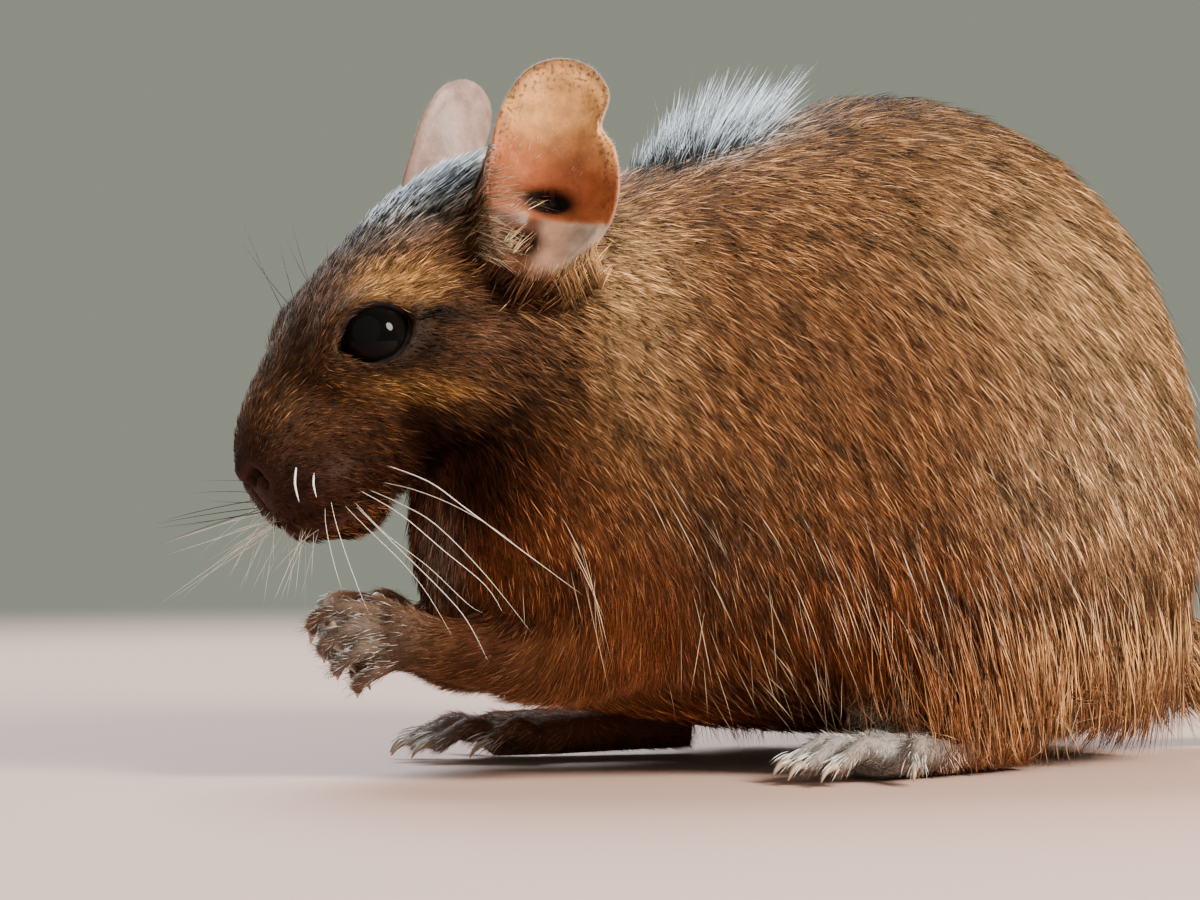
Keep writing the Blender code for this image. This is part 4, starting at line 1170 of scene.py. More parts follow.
# %% Grow the hands and feet
is_hand = in_regions(triangle_region, "hand").astype(float)
roots, normals = roots_on_skin(is_hand, per_square_mm=22.0)
short = 1.1 + 1.6 * smoothstep(-53, -47, roots[:, 1])
grow("hand_coat", face_coat, roots, normals, width=0.085, steps=2,
     tints=ticked(markings(roots)), lengths=short)
on_fingers = is_hand * smoothstep(-49, -54, triangle_middle[:, 1])
roots, normals = roots_on_skin(on_fingers, per_square_mm=3.0)
tints = shaded((0.70, 0.66, 0.61), len(roots), 0.15, 1.1)
grow("hand_silver", pale_hair, roots, normals, width=0.06, tints=tints,
     lengths=rng.uniform(1.4, 2.8, len(roots)), loose=0.2)
SOLE_HEIGHT = 0.6  # the soles below it are bare
is_foot = in_regions(triangle_region, "foot").astype(float) * (triangle_middle[:, 2] > SOLE_HEIGHT)
roots, normals = roots_on_skin(is_foot, per_square_mm=13.0)
short = rng.uniform(1.3, 2.6, len(roots))
grow("foot_coat", pale_hair, roots, normals, width=0.11, steps=2,
     tints=ticked(markings(roots)), lengths=short)

# %% Grow the tail
TAIL_START = 46
is_tail = in_regions(triangle_region, "tail").astype(float) * (triangle_middle[:, 1] > TAIL_START)
roots, normals = roots_on_skin(is_tail, per_square_mm=8.0)
grow("tail_coat", ticked_coat, roots, normals, width=0.15, steps=2,
     tints=ticked(markings(roots)))

# %% [markdown]
# The tail ends in a brush of long black bristles, which start about two thirds of the way
# along. Nothing in the comb changes for them: they are only longer and thicker than the
# hair before them, and may stand further off the skin.

# %% Grow the brush of the tail
in_brush = is_tail * smoothstep(-22, -32, triangle_middle[:, 0])
roots, normals = roots_on_skin(in_brush, per_square_mm=8.0)
grow("tail_brush", brush_hair, roots, normals, width=0.2, steps=4, longer=1.25, loose=0.1)

# %% [markdown]
# ## Crest and skirt
# A tuft of silver hair stands up on the nape and spreads like a fan; its blue-white is
# partly painted sheen. Long pale guard hairs hang over the lower flanks and haunches down
# to the floor. Both lie over the coat, so they are their own hairs, thinner and longer.

# %% Raise the crest on the nape
CREST_MIDDLE = np.array([0, -12.5, 70])
CREST_RADII = np.array([7.5, 9.5, 12])
CREST_TUFTS = 70
CREST_BASE, CREST_TOP = 60, 81.0  # heights in mm
# blue-white crest hairs: silver fur, partly painted sheen
CREST_SILVER_AND_SHEEN = np.array([0.70, 0.80, 0.92])
CREST_BEND = np.array([0, 0.12, -0.05])
DARK_CREST_SHARE = 0.35
from_crest = (((triangle_middle - CREST_MIDDLE) / CREST_RADII) ** 2).sum(axis=1)
in_crest = smoothstep(1.0, 0.1, from_crest) * (triangle_middle[:, 2] > CREST_BASE)
roots, normals = roots_on_skin(in_crest, per_square_mm=14.0)
count = len(roots)
fan = (roots - CREST_MIDDLE) / CREST_RADII
picked = rng.choice(count, CREST_TUFTS, replace=False)
tuft = np.argmin(np.linalg.norm(roots[:, None, :2] - roots[None, picked, :2], axis=2), axis=1)
lean = rng.normal(0, 0.22, (CREST_TUFTS, 2))[tuft]
inward = (roots[picked][tuft] - roots)[:, :2] * 0.06
across = fan[:, 0] * 0.5 + lean[:, 0] + inward[:, 0]
backward = 0.36 + 0.42 * fan[:, 1] + lean[:, 1] + inward[:, 1]
ways = np.stack([across, backward, np.ones(count)], axis=1)
ways = unit(ways + rng.normal(0, 0.13, ways.shape))
tall = rng.uniform(0.45, 1.05, CREST_TUFTS)[tuft] * rng.uniform(0.5, 1.1, count)
lengths = (11.5 - 5.0 * (fan[:, :2] ** 2).sum(axis=1) + 2.5 * fan[:, 1]) * tall
room = (CREST_TOP - roots[:, 2]) / ways[:, 2]
lengths = np.minimum(lengths, room)
lines = []
for place in (0, 0.5, 1):
    bend = CREST_BEND * place**2
    lines.append(roots - normals * ROOT_DEPTH + (ways * place + bend) * lengths[:, None])
lines = np.stack(lines, axis=1)
bright = np.where(rng.random(count) < DARK_CREST_SHARE, 0.06, rng.uniform(0.3, 1.2, count))
crest = hair_mesh("nape_crest", lines, ways, np.tile((0, -1.0, 0), (count, 1)),
                  rng.uniform(0.06, 0.11, count), CREST_SILVER_AND_SHEEN * bright[:, None])
crest.data.materials.append(silver_and_sheen_hair)
print("crest hairs:", count)

# %% Hang the guard hairs
low_on_side = smoothstep(38, 16, triangle_middle[:, 2])
low_on_side = low_on_side * smoothstep(14, 22, abs(triangle_middle[:, 0]))
on_rump = smoothstep(36, 42, triangle_middle[:, 1]) * smoothstep(60, 30, triangle_middle[:, 2])
roots, normals = roots_on_skin(is_body * np.maximum(low_on_side, on_rump), per_square_mm=0.19)
lengths = rng.uniform(6, 15, len(roots))
lengths = np.minimum(lengths, roots[:, 2] * 1.15 + 1.5)
tints = shaded((0.86, 0.64, 0.43), len(roots), 0.35, 1.1)
grow("guard_hairs", pale_hair, roots, normals, width=0.08, steps=4, ruffle=0.12,
     tints=tints, lengths=lengths, droop=0.45, loose=0.10)

# %% Hang the skirt over the hind feet
beside = smoothstep(19, 25, abs(triangle_middle[:, 0])) + smoothstep(30, 36, triangle_middle[:, 1])
in_skirt = is_body * np.minimum(beside, 1) * smoothstep(25, 15, triangle_middle[:, 2])
in_skirt = in_skirt * smoothstep(-6, 8, triangle_middle[:, 1])
roots, normals = roots_on_skin(in_skirt, per_square_mm=3.4)
outward, backward = 0.28 * np.sign(roots[:, 0]), 0.1 + 0.01 * roots[:, 1]
ways = np.stack([outward, backward, np.full(len(roots), -1.0)], axis=1)
lengths = np.minimum(rng.uniform(8, 15, len(roots)), roots[:, 2] * 1.05 + 0.5)
tints = ticked(markings(roots) * 0.65 + np.array(TAN) * 0.18, dark=0.3, pale=0.2)
grow("skirt", ticked_coat, roots, normals, width=0.13, steps=4, ruffle=0.10, tints=tints,
     ways=ways, lengths=lengths, lifts=np.full(len(roots), 0.30), droop=0.25, loose=0.6)

# %% [markdown]
# ## Eyes
# A degu's eye is almost all dark iris and stands out like a bead. The ball is a fine
# sphere with a slight swell where the cornea is, and its shine comes from a clear coat.
# The lids end in a bare dark rim, which is a tube along the eye's almond opening.

# %% Make the eyes
EYE_RADIUS = 4.5
EYE_LOOKS = unit([1, -0.30, 0.14])
LID_HALF_LENGTH, LID_HALF_HEIGHT, LID_RISE = 4.7, 3.5, math.radians(24)
CORNEA_SWELL = 0.05


def eye_axes(side):
    """The eye's length, height and the way it looks, as unit vectors."""
    looks = EYE_LOOKS * [side, 1, 1]
    level = unit(np.array([0, 1.0, 0]) - looks * looks[1])
    upright = np.cross(looks, level)
    upright = upright if upright[2] > 0 else -upright
    length = level * math.cos(LID_RISE) + upright * math.sin(LID_RISE)
    height = upright * math.cos(LID_RISE) - level * math.sin(LID_RISE)
    return length, height, looks


def mixed_colour(surface, factor, output, dark, light):
    """Colours a surface between two colours by an output of another node."""
    ends = {"A": (*dark, 1), "B": (*light, 1)}
    mix = node(surface.id_data, "ShaderNodeMix", ends, data_type="RGBA")
    link(factor, output, mix, "Factor")
    link(mix, "Result", surface, "Base Color")


def eye_material():
    """Wet black, with a brown iris that shows only in strong light."""
    made, surface = plain_material("eye_black", (0.01, 0.007, 0.005), 0.12)
    tree = made.node_tree
    amount = node(tree, "ShaderNodeMath", operation="MULTIPLY")
    link(attribute(tree, "iris"), "Fac", amount, 0)
    link(noise_of_size(tree, 0.8), "Fac", amount, 1)
    mixed_colour(surface, amount, "Value", (0.002, 0.002, 0.002), (0.005, 0.003, 0.002))
    wet = {"Specular IOR Level": 0, "Coat Weight": 1, "Coat IOR": 1.16, "Coat Roughness": 0.05}
    set_inputs(surface, wet)
    return made


wet_black = eye_material()
for side, word in SIDES:
    length, _, looks = eye_axes(side)
    bm = bmesh.new()
    bmesh.ops.create_uvsphere(bm, u_segments=56, v_segments=40, radius=1)
    mesh = bpy.data.meshes.new("eye")
    bm.to_mesh(mesh)
    bm.free()
    ball = points_of(mesh)
    swell = 1 + CORNEA_SWELL * smoothstep(math.cos(0.95), 1.0, ball[:, 2])
    turned = ball[:, [0]] * length + ball[:, [1]] * np.cross(looks, length) + ball[:, [2]] * looks
    set_points(mesh, metres(EYE * [side, 1, 1] + turned * swell[:, None] * EYE_RADIUS))
    number(mesh, "iris", smoothstep(0.88, 0.80, ball[:, 2]) * smoothstep(0.45, 0.62, ball[:, 2]))
    shade_smooth(mesh)
    dress(new_object("eyeball_" + word, mesh), wet_black, "eye", "eye_" + word)
print("eyes made, radius in mm:", EYE_RADIUS)


# %% Rim the lids
LID_RIM_RADIUS = 0.5
LID_RIM_OUT = 0.25


def lid_loop(side, reach, share, count=80):
    """Points round the eye's opening, on a sphere about the eye."""
    length, height, looks = eye_axes(side)
    turn = np.linspace(0, math.tau, count, endpoint=False)
    along = LID_HALF_LENGTH * share * np.cos(turn)
    up = LID_HALF_HEIGHT * share * np.sin(turn) * (1 - 0.35 * abs(np.cos(turn)) ** 3)
    out = np.sqrt(np.maximum(reach**2 - along**2 - up**2, 0))
    return EYE * [side, 1, 1] + along[:, None] * length + up[:, None] * height + out[:, None] * looks


def loop_tube(name, points, radii, sides=10):
    """A closed tube round a loop of points, in mm."""
    ahead = unit(np.roll(points, -1, axis=0) - np.roll(points, 1, axis=0))
    outward = unit(np.cross(points - points.mean(axis=0), ahead))
    inward = np.cross(outward, ahead)
    bm = bmesh.new()
    rings = []
    for point, one, two, radius in zip(points, outward, inward, radii):
        ring = []
        for k in range(sides):
            turn = math.tau * k / sides
            spoke = one * math.cos(turn) + two * math.sin(turn)
            ring.append(bm.verts.new(metres(point + spoke * radius)))
        rings.append(ring)
    for near, far in zip(rings, rings[1:] + rings[:1]):
        for k in range(sides):
            n = (k + 1) % sides
            bm.faces.new((near[k], near[n], far[n], far[k]))
    return new_object(name, finish_mesh(bm, bpy.data.meshes.new(name)))


def grained_material(name, colour, roughness, grain_size, grain_depth, variation=0.35, shine=0.5):
    """Bare skin or horn: one colour with a fine uneven grain in colour and relief."""
    made, surface = plain_material(name, colour, roughness)
    grain = noise_of_size(made.node_tree, grain_size)
    dark = [c * (1 - variation) for c in colour]
    light = [min(c * (1 + variation), 1) for c in colour]
    mixed_colour(surface, grain, "Fac", dark, light)
    bump_into(surface, grain, 0.5, grain_depth)
    set_inputs(surface, {"Specular IOR Level": shine})
    return made


lid_skin = grained_material("lid_skin", (0.006, 0.004, 0.004), 0.45, 0.4, 0.05, shine=0.15)
for side, word in SIDES:
    points = lid_loop(side, EYE_RADIUS + LID_RIM_OUT, 0.97)
    turn = np.linspace(0, math.tau, len(points), endpoint=False)
    radii = LID_RIM_RADIUS * (1 + 0.35 * np.sin(turn).clip(0) + 0.5 * abs(np.cos(turn)) ** 6)
    dress(loop_tube("lid_rim_" + word, points, radii), lid_skin, "face_coat")
print("lid rims: 2")

# %% Draw the dark line behind the eye
CORNER_LINE = np.array([(10.9, -51.4, 50.3), (11.3, -50.0, 51.2), (11.4, -48.4, 51.8)])
CORNER_HAIRS = 60
count = CORNER_HAIRS
for side, word in SIDES:
    place = rng.uniform(0, 2, count)
    starts = np.stack([np.interp(place, [0, 1, 2], CORNER_LINE[:, k]) for k in range(3)], axis=1)
    starts = starts * [side, 1, 1] + rng.normal(0, 0.16, (count, 3))
    ways = unit(np.tile((side * 0.10, 0.85, 0.42), (count, 1)) + rng.normal(0, 0.08, (count, 3)))
    lines = np.stack([starts, starts + ways * rng.uniform(0.9, 1.7, (count, 1))], axis=1)
    lashes = hair_mesh("eye_corner_" + word, lines, ways, np.tile((side, 0, 0), (count, 1)),
                       np.full(count, 0.17), np.tile((0.01, 0.007, 0.006), (count, 1)))
    lashes.data.materials.append(face_coat)
print("hairs of a dark line:", count)

# %% [markdown]
# ## Ears
# The ear is a thin cup of skin, like a leaf. Its rim steps in at the back, where the upper
# lobe ends, and its bowl is deepest low down, at the canal. It is so thin that light from
# behind shines through, so its material scatters light below the surface. The colour goes
# from tan at the top, partly painted glow of that light, over red-brown, partly painted
# shade in the bowl, to a canal painted nearly black as shade and a pale lower lobe.

# %% Shape the ears
EAR_CENTRE = np.array([15.2, -36.6, 66.8])
# the rim from the top round the back: up and back from the centre, in mm
EAR_RIM = [
    (12.8, -1.2), (12.2, 2.2), (9.9, 4.3), (6.4, 4.1), (3.8, 6.2), (-1.0, 7.4),
    (-6.0, 6.6), (-10.2, 3.6), (-12.0, -0.6), (-9.4, -4.6), (-3.6, -6.7), (2.4, -7.2),
    (7.4, -6.6), (11.2, -4.6),
]
EAR_DEPTH, EAR_BOWL, EAR_CANAL_DROP = 4.4, 1.9, 3.0
EAR_SOFT_SPAN = 9
RIGHT_EAR_MOVES = np.array([-0.3, -0.8, -1.4])
EAR_OPENS = unit([0.88, -0.42, 0.12])
EAR_UP = [0.16, 0.12, 0.98]
EAR_RINGS, EAR_STEPS = 26, 8
EAR_THICK, EAR_RIM_THICK = 0.55, 0.34
CANAL, LOW_CANAL = (-2.6, -0.3), (-7.9, -2.4)
# tan is partly painted glow of light through the ear; red is partly painted shade in the bowl
EAR_TAN_AND_GLOW, EAR_RED_AND_SHADE = np.array([0.72, 0.36, 0.13]), np.array([0.36, 0.10, 0.035])
# the canal's near black is painted shade
EAR_CANAL_SHADE, EAR_RIM_TINT = np.array([0.008, 0.004, 0.004]), np.array([0.07, 0.035, 0.025])
EAR_LOBE, EAR_BACK = np.array([0.30, 0.225, 0.175]), np.array([0.34, 0.22, 0.19])


def smooth_loop(rows, steps):
    """More points on a smooth closed curve through these rows."""
    rows = np.array(rows, dtype=float)
    a, b, c, d = np.roll(rows, 1, 0), rows, np.roll(rows, -1, 0), np.roll(rows, -2, 0)
    parts = []
    for step in range(steps):
        t = step / steps
        bend = 2 * a - 5 * b + 4 * c - d
        twist = 3 * b - a - 3 * c + d
        parts.append(b + 0.5 * ((c - a) * t + bend * t * t + twist * t**3))
    return np.stack(parts, axis=1).reshape(-1, rows.shape[1])


def ear_axes(side):
    """The way an ear opens, its up and its back, as unit vectors."""
    opens = EAR_OPENS * [side, 1, 1]
    up = np.array(EAR_UP) * [side, 1, 1]
    up = unit(up - opens * up.dot(opens))
    back = np.cross(opens, up)
    return opens, up, (back if back[1] > 0 else -back)


def ear_middle(side):
    """The middle of an ear's opening; the right ear is turned a little further down."""
    return EAR_CENTRE * [side, 1, 1] + (RIGHT_EAR_MOVES if side < 0 else 0)


def dip(y, x, place, high, wide):
    """1 at a place of the bowl, 0 beyond this height and width round it."""
    return np.exp(-(((y - place[0]) / high) ** 2) - ((x - place[1]) / wide) ** 2)


def ear_point(side, high, behind, share):
    """A place on the bowl's inner face, from a place on the rim and a share of the way to it."""
    opens, up, back = ear_axes(side)
    y, x = high * share - EAR_CANAL_DROP * (1 - share), behind * share
    fold = 0.5 * np.exp(-(((y - 5.6) / 1.6) ** 2)) * smoothstep(-2, 4, x)
    lobe = 0.9 * smoothstep(-4.1, -5.1, y) * smoothstep(-2.2, 0.2, x)
    hole = 1.8 * dip(y, x, CANAL, 1.2, 2.3) + 1.6 * dip(y, x, LOW_CANAL, 1.3, 1.8)
    roll = -0.5 * smoothstep(0.86, 1.0, share) * smoothstep(-2, 4, high)
    raised = (fold + lobe) * smoothstep(1.0, 0.9, share)
    deep = EAR_DEPTH * (share**EAR_BOWL - 1) + raised + roll - hole
    return ear_middle(side) + up * y + back * x + opens * deep


def ear_colours(high, behind, share):
    """The colour inside the bowl at a place, from its height and way back in mm; painted glow above,
    painted shade low down and in the canals.
    """
    y, x = high * share - EAR_CANAL_DROP * (1 - share), behind * share
    colour = EAR_RED_AND_SHADE + (EAR_TAN_AND_GLOW - EAR_RED_AND_SHADE) * smoothstep(0.5, 7.0, y + 0.15 * x)
    # painted shade low at the front of the bowl
    shade = smoothstep(1.5, -2.0, y) * smoothstep(-1, -5, x)
    colour = colour * (1 - 0.45 * shade)
    # painted shade low at the front, below the fold
    colour = colour * (1 - 0.75 * smoothstep(-4.4, -5.2, y) * smoothstep(1.0, -1.0, x))
    pale = smoothstep(-4.2, -4.9, y) * smoothstep(-2.0, 0.4, x)
    pale = pale * (0.55 + 0.45 * smoothstep(1.0, 5.0, x))
    colour = colour + (EAR_LOBE - colour) * pale
    # the canals are painted nearly black as shade
    canal_shade = 2.4 * dip(y, x, CANAL, 1.2, 2.5) + 1.9 * dip(y, x, LOW_CANAL, 1.3, 1.9)
    colour = colour + (EAR_CANAL_SHADE - colour) * min(1.0, canal_shade)
    edge = smoothstep(0.95, 0.985, share) * smoothstep(6, 10, high)
    return colour + (EAR_RIM_TINT - colour) * 0.8 * edge


print("ear rim points:", len(smooth_loop(EAR_RIM, EAR_STEPS)))


# %% Make the ears
def spotted(tree, noise_node, low, high, least=0.0, most=1.0):
    """Spots from a noise: its greys between low and high become numbers from least to most."""
    span = {"From Min": low, "From Max": high, "To Min": least, "To Max": most}
    spots = node(tree, "ShaderNodeMapRange", span)
    link(noise_node, "Fac", spots, "Value")
    return spots


def ear_material():
    """Thin bare skin that lets light through, freckled, with the painted colour."""
    made, surface = plain_material("ear_skin", (0.5, 0.25, 0.12), 0.42)
    tree = made.node_tree
    grain = noise_of_size(tree, 0.45, 4)
    freckles = spotted(tree, grain, 0.34, 0.50)
    blotches = spotted(tree, noise_of_size(tree, 2.2, 3), 0.35, 0.65, 0.70, 1.08)
    least = node(tree, "ShaderNodeMath", {0: 1}, operation="SUBTRACT")
    link(attribute(tree, "freckled"), "Fac", least, 1)
    link(least, "Value", freckles, "To Min")
    uneven = node(tree, "ShaderNodeMath", operation="MULTIPLY")
    link(freckles, "Result", uneven, 0)
    link(blotches, "Result", uneven, 1)
    speckled = node(tree, "ShaderNodeVectorMath", operation="SCALE")
    link(attribute(tree, "tint"), "Color", speckled, "Vector")
    link(uneven, "Value", speckled, "Scale")
    link(speckled, "Vector", surface, "Base Color")
    bump_into(surface, grain, 0.35, 0.1)
    set_inputs(surface, {
        "Specular IOR Level": 0.2, "Subsurface Weight": 0.2,
        "Subsurface Radius": (1.0, 0.45, 0.25), "Subsurface Scale": MM,
    })
    return made


def shell_mesh(name, points, faces):
    """A mesh of points in mm, with its faces turned outwards and shaded smooth."""
    mesh = bpy.data.meshes.new(name)
    mesh.from_pydata(metres(points), [], faces)
    bm = bmesh.new()
    bm.from_mesh(mesh)
    return finish_mesh(bm, mesh)


def ear_mesh(name, side):
    """One ear as a closed thin cup, with its colours."""
    outline = smooth_loop(EAR_RIM, EAR_STEPS)
    span = range(-EAR_SOFT_SPAN, EAR_SOFT_SPAN + 1)
    soft = np.mean([np.roll(outline, k, axis=0) for k in span], axis=0)
    shares = [(ring / EAR_RINGS) ** 0.85 for ring in range(1, EAR_RINGS + 1)]
    around = len(outline)
    inner = [ear_point(side, *outline[0], 0.0)]
    inner_high = [0.0]
    tints = [ear_colours(*outline[0], 0.0)]
    for share in shares:
        for high, behind in soft + (outline - soft) * share**4:
            inner.append(ear_point(side, high, behind, share))
            inner_high.append(high * share)
            tints.append(ear_colours(high, behind, share))
    inner, inner_high = np.array(inner), np.array(inner_high)
    faces = []
    for i in range(around):
        j = (i + 1) % around
        faces.append((0, 1 + i, 1 + j))
        for ring in range(EAR_RINGS - 1):
            a = 1 + ring * around
            faces.append((a + i, a + around + i, a + around + j, a + j))
    outward = normals_of(shell_mesh(name, inner, faces))
    opens = ear_axes(side)[0]
    if (outward @ opens).mean() < 0:
        outward = -outward
    thick = np.full(len(inner), EAR_THICK)
    thick[1 + around * (EAR_RINGS - 2):] = EAR_RIM_THICK
    outer = inner - outward * thick[:, None]
    count = len(inner)
    last = 1 + (EAR_RINGS - 1) * around
    shell = list(faces) + [tuple(v + count for v in face[::-1]) for face in faces]
    for i in range(around):
        j = (i + 1) % around
        shell.append((last + i, count + last + i, count + last + j, last + j))
    cup = shell_mesh(name, np.concatenate([inner, outer]), shell)
    paint(cup, "tint", np.concatenate([np.array(tints), np.tile(EAR_BACK, (count, 1))]))
    spots = 0.12 + 0.6 * smoothstep(0.72, 0.97, np.array(shares).repeat(around))
    spots = spots * smoothstep(-4, -2, inner_high[1:])
    number(cup, "freckled", np.concatenate([[0.1], spots, np.full(count, 0.15)]))
    cup.update()
    return cup


ear_skin = ear_material()
for side, word in SIDES:
    ear = new_object("ear_cup_" + word, ear_mesh("ear_cup_" + word, side))
    dress(ear, ear_skin, "ear_skin", "ear_" + word)
print("ears: 2")


# %% Fringe the ears
def strands(name, material, lines, up, widths, tints):
    """Free hairs along given lines, as one piece; up is one vector, widths can be one number."""
    count = len(lines)
    first = unit(lines[:, 1] - lines[:, 0])
    obj = hair_mesh(name, lines, first, np.tile(up, (count, 1)), np.broadcast_to(widths, count), tints)
    obj.data.materials.append(material)
    print(name, "hairs:", count)


def on_skin(spots):
    """The skin's nearest places to spots in mm."""
    return np.array([skin_tree.find_nearest(spot)[0] for spot in spots])


def bent_lines(starts, ways, lengths, sag, steps):
    """Lines that leave starts along ways and sag under their own weight, in mm."""
    places = np.linspace(0, 1, steps)[None, :, None]
    down = np.array([0, 0, -1.0])
    reach = ways[:, None] * places + down * np.asarray(sag).reshape(-1, 1, 1) * places**2
    return starts[:, None] + reach * lengths[:, None, None]


FRINGE_HAIRS = 130
for side, word in SIDES:
    opens, up, back = ear_axes(side)
    count = FRINGE_HAIRS
    high = rng.uniform(-10.5, -0.5, count)
    behind = -5.9 - 0.9 * np.cos((high + 4) / 5) + rng.normal(0, 0.35, count)
    starts = ear_middle(side) + up * high[:, None] + back * behind[:, None]
    starts = starts - opens * rng.uniform(-0.2, 0.6, (count, 1))
    tilt = (high + 6.5) / 14 + rng.normal(0, 0.07, count)
    ways = unit(back * 1.0 + up * tilt[:, None] + opens * rng.uniform(0.25, 0.6, (count, 1)))
    lengths = rng.uniform(1.8, 6.2, count) * (1 - 0.5 * smoothstep(-4.5, -1, high))
    tints = shaded((0.80, 0.62, 0.40), count, 0.2, 1.05)
    lines = bent_lines(starts, ways, lengths, rng.uniform(-0.25, 0.3, count), 5)
    strands("ear_fringe_" + word, pale_hair, lines, opens,
            rng.uniform(0.035, 0.065, count), tints)

# %% Lap fur over the foot of the ears
COLLAR_HAIRS = 420
for side, word in SIDES:
    opens, up, back = ear_axes(side)
    outline = smooth_loop(EAR_RIM, 30)
    front_top = 1.5 if side > 0 else -6.0
    lapped = (outline[:, 0] < -7.0) | ((outline[:, 1] < -3.2) & (outline[:, 0] < front_top))
    count = COLLAR_HAIRS
    chosen = outline[lapped][rng.integers(0, int(lapped.sum()), count)]
    rims = np.array([ear_point(side, high, behind, 1.0) for high, behind in chosen])
    outward = unit(chosen[:, [0]] * up + chosen[:, [1]] * back)
    below = rims + outward * rng.uniform(0.6, 2.6, (count, 1)) + rng.normal(0, 0.3, (count, 3))
    roots = on_skin(below)
    at_front = smoothstep(-1.0, -4.0, chosen[:, [1]])
    ways = up * (0.85 - 0.55 * at_front) + back * (0.15 + 0.8 * at_front)
    ways = unit(ways + rng.normal(0, 0.12, (count, 3)))
    beyond = rng.uniform(0.3, 3.0, (count, 1)) * (1 - 0.5 * at_front)
    over = rims + outward * 0.3 + opens * rng.uniform(0.15, 0.6, (count, 1))
    rows = zip(roots, over, over + ways * beyond + opens * (0.15 + 0.5 * at_front))
    lines = np.array([smooth_rows(row, 2) for row in rows])
    strands("ear_collar_" + word, pale_hair, lines, opens,
            rng.uniform(0.07, 0.11, count), ticked(markings(roots) * 0.8, dark=0.3, pale=0.2))

# %% Fringe the rims
LOWEST_FRINGE = -8
for side, word in SIDES:
    opens, up, back = ear_axes(side)
    outline = smooth_loop(EAR_RIM, 30)
    outline = outline[outline[:, 0] > LOWEST_FRINGE]
    starts = np.array([ear_point(side, high, behind, 0.985) for high, behind in outline])
    outward = unit(outline[:, [0]] * up + outline[:, [1]] * back)
    count = len(starts)
    ways = unit(outward + rng.normal(0, 0.45, (count, 3)) + opens * 0.2)
    lengths = rng.uniform(0.25, 0.7, count)
    tints = shaded((0.62, 0.52, 0.44), count, 0.5, 1.1)
    lines = bent_lines(starts, ways, lengths, np.zeros(count), 3)
    strands("ear_edge_" + word, pale_hair, lines, opens, 0.045, tints)

# %% Grow the tufts before the ears
TUFT_PLACE, TUFT_RADII = np.array([10.6, -42.6, 60.4]), [4.5, 2.6, 6.0]


def near_place(place, radii, side):
    """1 on the skin's triangles at a place of the left side or its mirror, 0 beyond the radii."""
    away = (((triangle_middle - place * [side, 1, 1]) / radii) ** 2).sum(axis=1)
    return np.exp(-away**2)


for side, word in SIDES:
    in_tuft = is_head * near_place(TUFT_PLACE, TUFT_RADII, side)
    roots, normals = roots_on_skin(in_tuft, per_square_mm=9.0)
    count = len(roots)
    tints = ticked(np.tile((0.52, 0.34, 0.17), (count, 1)), dark=0.25, pale=0.25)
    ways = np.tile((side * 0.30, 0.70, 0.62), (count, 1))
    grow("ear_tuft_" + word, pale_hair, roots, normals, width=0.11, tints=tints,
         ways=ways, lengths=rng.uniform(3.5, 6.0, count), lifts=np.full(count, 0.5),
         droop=-0.2, loose=0.5)

# %% Tuck the ears into the neck's fur
TUCK_PLACE, TUCK_RADII = np.array([12.0, -37.4, 53.6]), [5, 5.0, 3.0]
for side, word in SIDES:
    in_tuck = (is_head + is_body) * near_place(TUCK_PLACE, TUCK_RADII, side)
    roots, normals = roots_on_skin(in_tuck, per_square_mm=10.0)
    count = len(roots)
    ways = np.tile((side * 0.45, 0.50, 0.70), (count, 1))
    grow("ear_tuck_" + word, ticked_coat, roots, normals, width=0.12,
         tints=ticked(markings(roots)), ways=ways, lengths=rng.uniform(3.6, 6.2, count),
         lifts=np.full(count, 0.7), droop=-0.15, loose=0.8)

# %% Lay fine hairs inside the ears
DOWN_HAIRS, LOWEST_DOWN = 240, 1.5
for side, word in SIDES:
    opens, up, back = ear_axes(side)
    outline = smooth_loop(EAR_RIM, EAR_STEPS)
    count = DOWN_HAIRS
    picked = rng.integers(0, len(outline), count)
    shares = rng.uniform(0.35, 0.93, count)
    starts = np.array([ear_point(side, *outline[i], share) for i, share in zip(picked, shares)])
    upper = outline[picked, 0] * shares > LOWEST_DOWN
    starts, count = starts[upper], int(upper.sum())
    ways = unit(up * 0.8 + back * 0.5 + opens * 0.35 + rng.normal(0, 0.25, (count, 3)))
    tints = shaded((0.80, 0.68, 0.55), count, 0.6, 1.0)
    lines = bent_lines(starts, ways, rng.uniform(0.6, 1.5, count), np.zeros(count), 3)
    strands("ear_down_" + word, pale_hair, lines, opens, 0.035, tints)

# %% [markdown]
# ## Whiskers and claws
# Whiskers are long tapered bristles in rows on the muzzle. On the near side they sweep
# back and down, on the far side forwards. Claws are short curved horn cones at the tips of
# the fingers and toes.

# %% Set the whiskers
HEAD_PITCH = math.radians(37)
NOSE_TIP = np.array([0, -65.6, 35.6])


WHISKER_UP = (0.1, 0.2, 1.0)


def in_head(points):
    """Points in mm from the head's own frame (across, back, up)."""
    across, back, up = np.asarray(points, dtype=float).T
    c, s = math.cos(HEAD_PITCH), math.sin(HEAD_PITCH)
    return NOSE_TIP + np.stack([across, c * back - s * up, s * back + c * up], axis=1)


